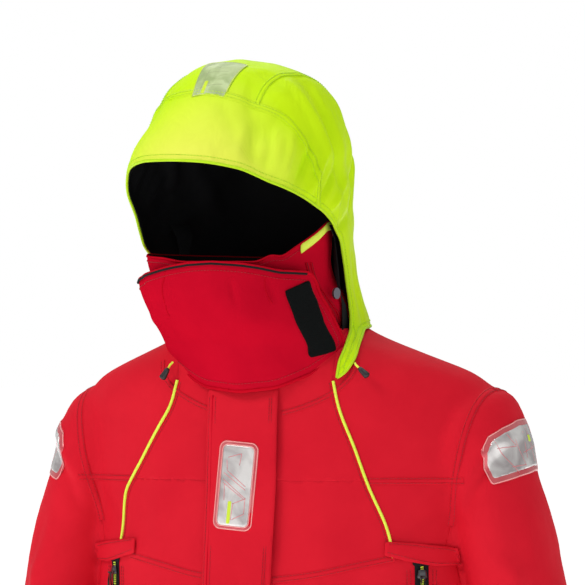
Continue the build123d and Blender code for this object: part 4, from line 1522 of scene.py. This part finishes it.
def build_chest_pockets():
    tapes, teeth, rows = [], [], []
    for side, _ in SIDES:
        place = front_at(side, on_skin)
        tape = rect(ZIP_X - 0.0058, ZIP_X + 0.0058, ZIP_FOOT, ZIP_TOP + 0.004)
        end = rect(ZIP_X - 0.0075, ZIP_X + 0.0075, -0.231, -0.214)
        tapes += [laid(flat_piece(tape, 0.001, 0.003), place, 0.0003, 0.0006),
                  laid(flat_piece(end, 0.003, 0.0015), place, 0.0008, 0.0012, 0.001)]
        teeth.append(teeth_rows(ZIP_X, ZIP_TOP, ZIP_FOOT + 0.004, 60, place, 0.0008, 0.0009, 0.0009, 2))
        rows += [sewn(line, place, lift, 0.004, ease=2) for line, lift in POCKET_ROWS]
    stand_in("chest_zip_tapes", join(*tapes), "jacket", BLACK)
    stand_in("chest_zip_teeth", join(*teeth), "jacket", LIME_TRIM, "chest_zip_tooth_rows")
    cover = both_sides(flat_piece(COVER, 0.002, 0.002), on_skin, 0.0024, 0.0016, 0.002)
    stand_in("chest_pocket_covers", cover, "jacket", RED)
    make("chest_pocket_stitching", join(*rows), "jacket", THREAD_RED)
    bags = both_sides(flat_piece(rect(0.100, 0.182, -0.415, -0.219), 0.01, 0.006), on_front, -0.0066, 0.0010)
    stand_in("chest_pocket_bags", bags, "jacket", BLACK)
    plate = flat_piece([(ZIP_X - 0.0042, -0.244), (ZIP_X + 0.0042, -0.244), (ZIP_X + 0.0030, -0.2345),
                        (ZIP_X - 0.0030, -0.2345)], 0.0018, 0.001)
    for side, word in SIDES:
        slider = laid(plate, front_at(side, on_front), SLIDER_LIFT[side], 0.0018, 0.0014)
        stand_in("chest_zip_slider_" + word, slider, "chest_slider_" + word, METAL,
                 "chest_zip_slider_plate_" + word)
        build_pull(side, word)


def build_hand_pockets():
    pouch = flat_piece(rect(0.070, 0.195, -0.690, -0.462), 0.012, 0.004)
    stand_in("hand_pockets", both_sides(pouch, on_front, -0.001, 0.0098, 0.010), "jacket", RED)
    lid = flat_piece(rect(0.067, 0.198, -0.514, -0.451), 0.006, 0.004)
    rows = []
    for side, word in SIDES:
        place, body = front_at(side, on_front), "pocket_lid_" + word
        stand_in("hand_pocket_lid_" + word, laid(lid, place, 0.0097, 0.0016, 0.002), body, RED)
        edge = [(0.071, -0.454), (0.071, -0.510), (0.194, -0.510), (0.194, -0.454)]
        make("hand_pocket_lid_stitching_" + word, sewn(edge, place, 0.0113), body, THREAD_RED)
        rows.append(sewn([(0.080, -0.520), (0.080, -0.680), (0.185, -0.680), (0.185, -0.520)], place, 0.0088))
    make("hand_pocket_stitching", join(*rows), "jacket", THREAD_RED)


build_chest_pockets()
build_hand_pockets()


# ---- sleeve patches, cuff tabs and seals ----
SLEEVE_PATCH = [(33, -0.0955), (52, -0.0865), (82, -0.0780), (112, -0.0770), (114, -0.1310), (99, -0.1305),
                (68, -0.1355), (27, -0.1445), (23, -0.1120)]
SLEEVE_FILM = [(37, -0.1005), (54, -0.0920), (82, -0.0840), (108, -0.0830), (109, -0.1255), (97, -0.1250),
               (68, -0.1295), (32, -0.1375), (29, -0.1130)]


SLEEVE_FILM_LINES = [
    [(38, -0.099), (66, -0.133)], [(56, -0.0925), (69, -0.104)], [(42, -0.107), (69, -0.105)],
    [(58, -0.1265), (78, -0.125)], [(69, -0.098), (79, -0.126)], [(84, -0.090), (84, -0.118)],
    [(92, -0.086), (100, -0.122)], [(79, -0.112), (104, -0.106)],
]
# Metres to a degree round the arm at the patch and at the wrist
PATCH_UNIT, WRIST_UNIT = (0.00105, 1), (0.00083, 1)


def build_sleeve_patch(word, place):
    clear = laid(flat_piece(SLEEVE_PATCH, 0.004, 0.0022, PATCH_UNIT), place, 0.0003, 0.0007, 0.001)
    film = laid(flat_piece(SLEEVE_FILM, 0.003, 0.0022, PATCH_UNIT), place, 0.0009, 0.0006, 0.001)
    ridge = film_lines([SLEEVE_PATCH + SLEEVE_PATCH[:1]], place, 0.0009, 0.0006, 2.0)
    lines = film_lines(SLEEVE_FILM_LINES, place, 0.0014, 0.0005, 2.0)
    bar = flat_piece(rect(92, 97, -0.101, -0.094), 0.0005, 0.001, PATCH_UNIT)
    bent = [
        stand_in("sleeve_patch_" + word, clear, None, FILM_EDGE,
                 "sleeve_patch_clear_border_" + word),
        make("sleeve_patch_film_" + word, film, None, FILM),
        make("sleeve_patch_ridges_" + word, ridge, None, FILM_RIDGE),
        make("sleeve_patch_lines_" + word, lines, None, FILM_LINE),
        make("sleeve_patch_lime_bar_" + word, laid(bar, place, 0.0014, 0.0005, 0.0006), None, LIME_BAR),
    ]
    for ob in bent:
        bend_arm(ob)


def build_cuff(side, word, place):
    """The cuff's tab and the rubber seal inside it."""
    body = "cuff_strap_" + word
    tab = flat_piece(rect(-8, 86, -0.591, -0.568), 0.006, 0.003, WRIST_UNIT)
    stand_in("cuff_tab_" + word, laid(tab, place, 0.0006, 0.0019, 0.0015), body, RED)
    edge = [(84, -0.5885), (-5, -0.5885), (-5, -0.5705), (84, -0.5705)]
    make("cuff_tab_stitching_" + word, sewn(edge, place, 0.0026, 4), body, THREAD_RED)
    z, phi = np.linspace(-0.595, -0.541, 24), np.linspace(0, 2 * math.pi, 73)[:-1]
    v, f = grid(ARM, z, phi, -0.0034, closed=True)
    up, wave = v[:, 2], 1 - 0.02 * np.sin(v[:, 2] * 900)
    x, y = (np.interp(up, [-0.6, -0.5], ends) for ends in ([0.301, 0.295], [-0.058, -0.042]))
    centre = np.stack([x, y, up], axis=1)
    v = (centre + (v - centre) * wave[:, None]) * np.array([side, 1, 1])
    stand_in("wrist_seal_" + word, thick((v, f[:, ::side]), 0.0007), "forearm_" + word, SEAL,
             "wrist_seal_sleeve_" + word)


def build_sleeve_details():
    for side, word in SIDES:
        build_sleeve_patch(word, on_arm(side))
        build_cuff(side, word, on_arm(side))


build_sleeve_details()


# ---- hood trim ----
HOOD_PATCH = [(-0.003, 0.191), (0.034, 0.184), (0.031, 0.137), (-0.019, 0.141)]
HOOD_FILM_LINES = [
    [(-0.002, 0.184), (0.026, 0.176)], [(0.004, 0.188), (0.000, 0.162)], [(-0.008, 0.170), (0.022, 0.160)],
    [(0.010, 0.160), (0.006, 0.143)], [(-0.014, 0.156), (0.004, 0.148)],
]


def build_hood_patch():
    patch = laid(flat_piece(HOOD_PATCH, 0.002, 0.002), on_hood, 0.0004, 0.0007, 0.001)
    stand_in("hood_patch", patch, "hood", FILM_HOOD, "hood_patch_film")
    ridges = film_lines([HOOD_PATCH + HOOD_PATCH[:1]], on_hood, 0.0010, 0.0005, 0.002)
    lines = film_lines(HOOD_FILM_LINES, on_hood, 0.0010, 0.0004, 0.002)
    make("hood_patch_ridges", ridges, "hood", LIME_BAR)
    make("hood_patch_lines", lines, "hood", FILM_HOOD_LINE)
    bar = flat_piece([(0.004, 0.176), (0.008, 0.176), (0.010, 0.188), (0.006, 0.188)], 0.0005, 0.001)
    make("hood_patch_lime_bar", laid(bar, on_hood, 0.0010, 0.0004, 0.0004), "hood", LIME_BAR)


def build_hood_seams(shell):
    """Bands and stitching over the seams between the peak, the crown and the sides."""
    surface = tree(shell)
    peak = peak_side(shell[0])
    across = head_frame(shell[0])[0]
    middle = iso_line(shell, peak)
    bands = [strip(middle, nearest(surface, middle)[1], band_profile(0.0095, 0.0009), surface)]
    rows = [iso_line(shell, peak - offset) for offset in (-0.0032, 0.0032)]
    for side in (-1, 1):
        line = iso_line(shell, across * side - CROWN_HALF, peak)
        ups = nearest(surface, line)[1]
        bands.append(strip(line, ups, band_profile(0.007, 0.0007), surface))
        rows += [line + np.cross(tangents(line), ups) * k for k in (-0.0023, 0.0023)]
    make("hood_seams", join(*bands), "hood", LIME)
    threads = [stitches(*nearest(surface, row, 0.0009)) for row in rows]
    make("hood_seam_stitching", join(*threads), "hood", THREAD_LIME)


def iso_line(mesh, value, behind=None):
    """The longest line on a mesh where value is 0; behind, if given, must be below 0 there."""
    part = clip(mesh, value)
    best = []
    for line in loops(part[1]):
        p = part[0][line]
        hold = np.array([abs(d) < 4e-4 for d in sample(mesh, value, p)])
        if behind is not None:
            hold &= sample(mesh, behind, p) < -0.001
        run = []
        for k in list(range(len(p))) * 2:
            if hold[k]:
                run.append(p[k])
                if len(run) > len(best):
                    best = list(run)
                if len(run) >= len(p):
                    break
            else:
                run = []
    return soften(even(np.array(best), 0.003), 4)


def sample(mesh, value, points):
    """A mesh's values at points on it, from the nearest corners."""
    v, f = mesh
    surface = tree(mesh)
    out = []
    for p in points:
        at, _, index, _ = surface.find_nearest(Vector(p))
        a, b, c = v[f[index]]
        e0, e1, e2 = b - a, c - a, np.array(at) - a
        d00, d01, d11 = e0 @ e0, e0 @ e1, e1 @ e1
        d20, d21 = e2 @ e0, e2 @ e1
        det = d00 * d11 - d01 * d01 or 1e-18
        s, t = (d11 * d20 - d01 * d21) / det, (d00 * d21 - d01 * d20) / det
        out.append(value[f[index]] @ np.array([1 - s - t, s, t]))
    return np.array(out)


TRIMMED_HOOD = trim_hood(HOOD_SKIN)
edge_roll("hood_edge_binding", TRIMMED_HOOD, 0.0015, "hood", LIME_EDGE, THREAD_LIME, inset=0.006)
build_hood_patch()
build_hood_seams(TRIMMED_HOOD)


# ---- drawcord ends ----
def build_toggles():
    bells, cords = [], []
    steps = np.linspace(0, 1, 12)
    radius = (0.0024 + 0.0018 * steps) * np.sqrt(np.clip(1 - np.abs(2 * steps - 1) ** 8, 0.05, 1))
    for x, lean in ((0.111, math.radians(-48)), (-0.092, math.radians(32))):
        y = float(front_y(x, -0.026)[0]) - 0.009
        down = np.array([-math.sin(lean), 0, -math.cos(lean)])
        side = np.array([[math.cos(lean), 0, -math.sin(lean)]])
        top = np.array([x, y, -0.017])
        path = [top + np.array([0, 0.003, 0]), top + down * 0.003, top + down * 0.0072]
        cords.append(tube(path, 0.0012, up=(0, 1, 0)))
        spine = top + down * (0.007 + 0.0145 * steps[:, None])
        bells.append(round_bar(spine, side, np.array([0, 1.0, 0]), radius, 16))
    stand_in("hood_drawcord_toggles", join(*bells), "jacket", PLASTIC,
             "drawcord_toggle_bells")
    stand_in("hood_drawcord_ends", join(*cords), "jacket", LIME_TRIM, "drawcord_ends")


build_toggles()

# Hard CAD parts that stay, each with its own finish
for cad_node, finish in (("hood_edge_snap", STEEL), ("hem_cord_locks", PLASTIC),
                         ("hem_lock_button_left", GRIP), ("hem_lock_button_right", GRIP)):
    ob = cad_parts[cad_node]
    ob.data.materials.clear()
    ob.data.materials.append(finish)


# ---- camera, light, floor ----
CAMERA_AWAY, CAMERA_AZIMUTH, CAMERA_ELEVATION = 9.0, math.radians(20.6), math.radians(0.4)
VIEW_WIDTH = 0.62595
FLOOR_Z, FLOOR_HALF = -0.80, 40.0
LAMPS = [
    # name, place, watts, width
    ("key", (-1.7, -2.1, 2.5), 50, 1.2), ("top", (0.3, -0.3, 3.2), 34, 1.8),
    ("fill", (2.6, -2.2, 0.8), 3, 2.0), ("rim", (-0.9, 2.2, 2.2), 16, 1.5),
]


def build_camera():
    c, s, level = math.cos(CAMERA_AZIMUTH), math.sin(CAMERA_AZIMUTH), math.cos(CAMERA_ELEVATION)
    back = Vector((s * level, -c * level, math.sin(CAMERA_ELEVATION)))
    right = Vector((c, s, 0))
    data = bpy.data.cameras.new("camera")
    cam = placed("camera", data)
    cam.location = right * -0.008 + Vector((0, 0, 0.056)) + back * CAMERA_AWAY
    cam.rotation_euler = back.to_track_quat("Z", "Y").to_euler()
    data.sensor_width = 36
    data.lens = data.sensor_width * CAMERA_AWAY / VIEW_WIDTH
    data.clip_end = 50
    bpy.context.scene.camera = cam


def build_floor():
    """A pale floor, wide enough to reach the horizon."""
    ends = (-FLOOR_HALF, FLOOR_HALF)
    v = np.array([(x, y, FLOOR_Z) for y in ends for x in ends])
    m, nodes, links, p = material("floor_white", (0.93, 0.93, 0.93), 0.95, Emission_Strength=0.72)
    p.inputs["Emission Color"].default_value = (1, 1, 1, 1)
    grain = node(nodes, "ShaderNodeTexNoise", Scale=30.0)
    relief = node(nodes, "ShaderNodeBump", Strength=0.02, Distance=0.001)
    links.new(grain.outputs["Fac"], relief.inputs["Height"])
    links.new(relief.outputs["Normal"], p.inputs["Normal"])
    make("floor", (v, np.array([(0, 1, 3), (0, 3, 2)])), None, m)


def build_light():
    """A white room that the camera sees brighter than the jacket does, and four lamps."""
    world = bpy.data.worlds.new("studio")
    bpy.context.scene.world = world
    world.use_nodes = True
    nodes, links = world.node_tree.nodes, world.node_tree.links
    room = nodes["Background"]
    room.inputs["Color"].default_value = (1, 1, 1, 1)
    seen = node(nodes, "ShaderNodeLightPath")
    strength = node(nodes, "ShaderNodeMapRange", To_Min=0.36, To_Max=1.0)
    links.new(seen.outputs["Is Camera Ray"], strength.inputs["Value"])
    links.new(strength.outputs["Result"], room.inputs["Strength"])
    for name, place, power, size in LAMPS:
        lamp = bpy.data.lights.new(name, "AREA")
        lamp.energy, lamp.size = power, size
        ob = placed(name, lamp)
        ob.location = place
        ob.rotation_euler = Vector(place).to_track_quat("Z", "Y").to_euler()


build_camera()
build_floor()
build_light()
bpy.context.scene.view_settings.view_transform = "Standard"
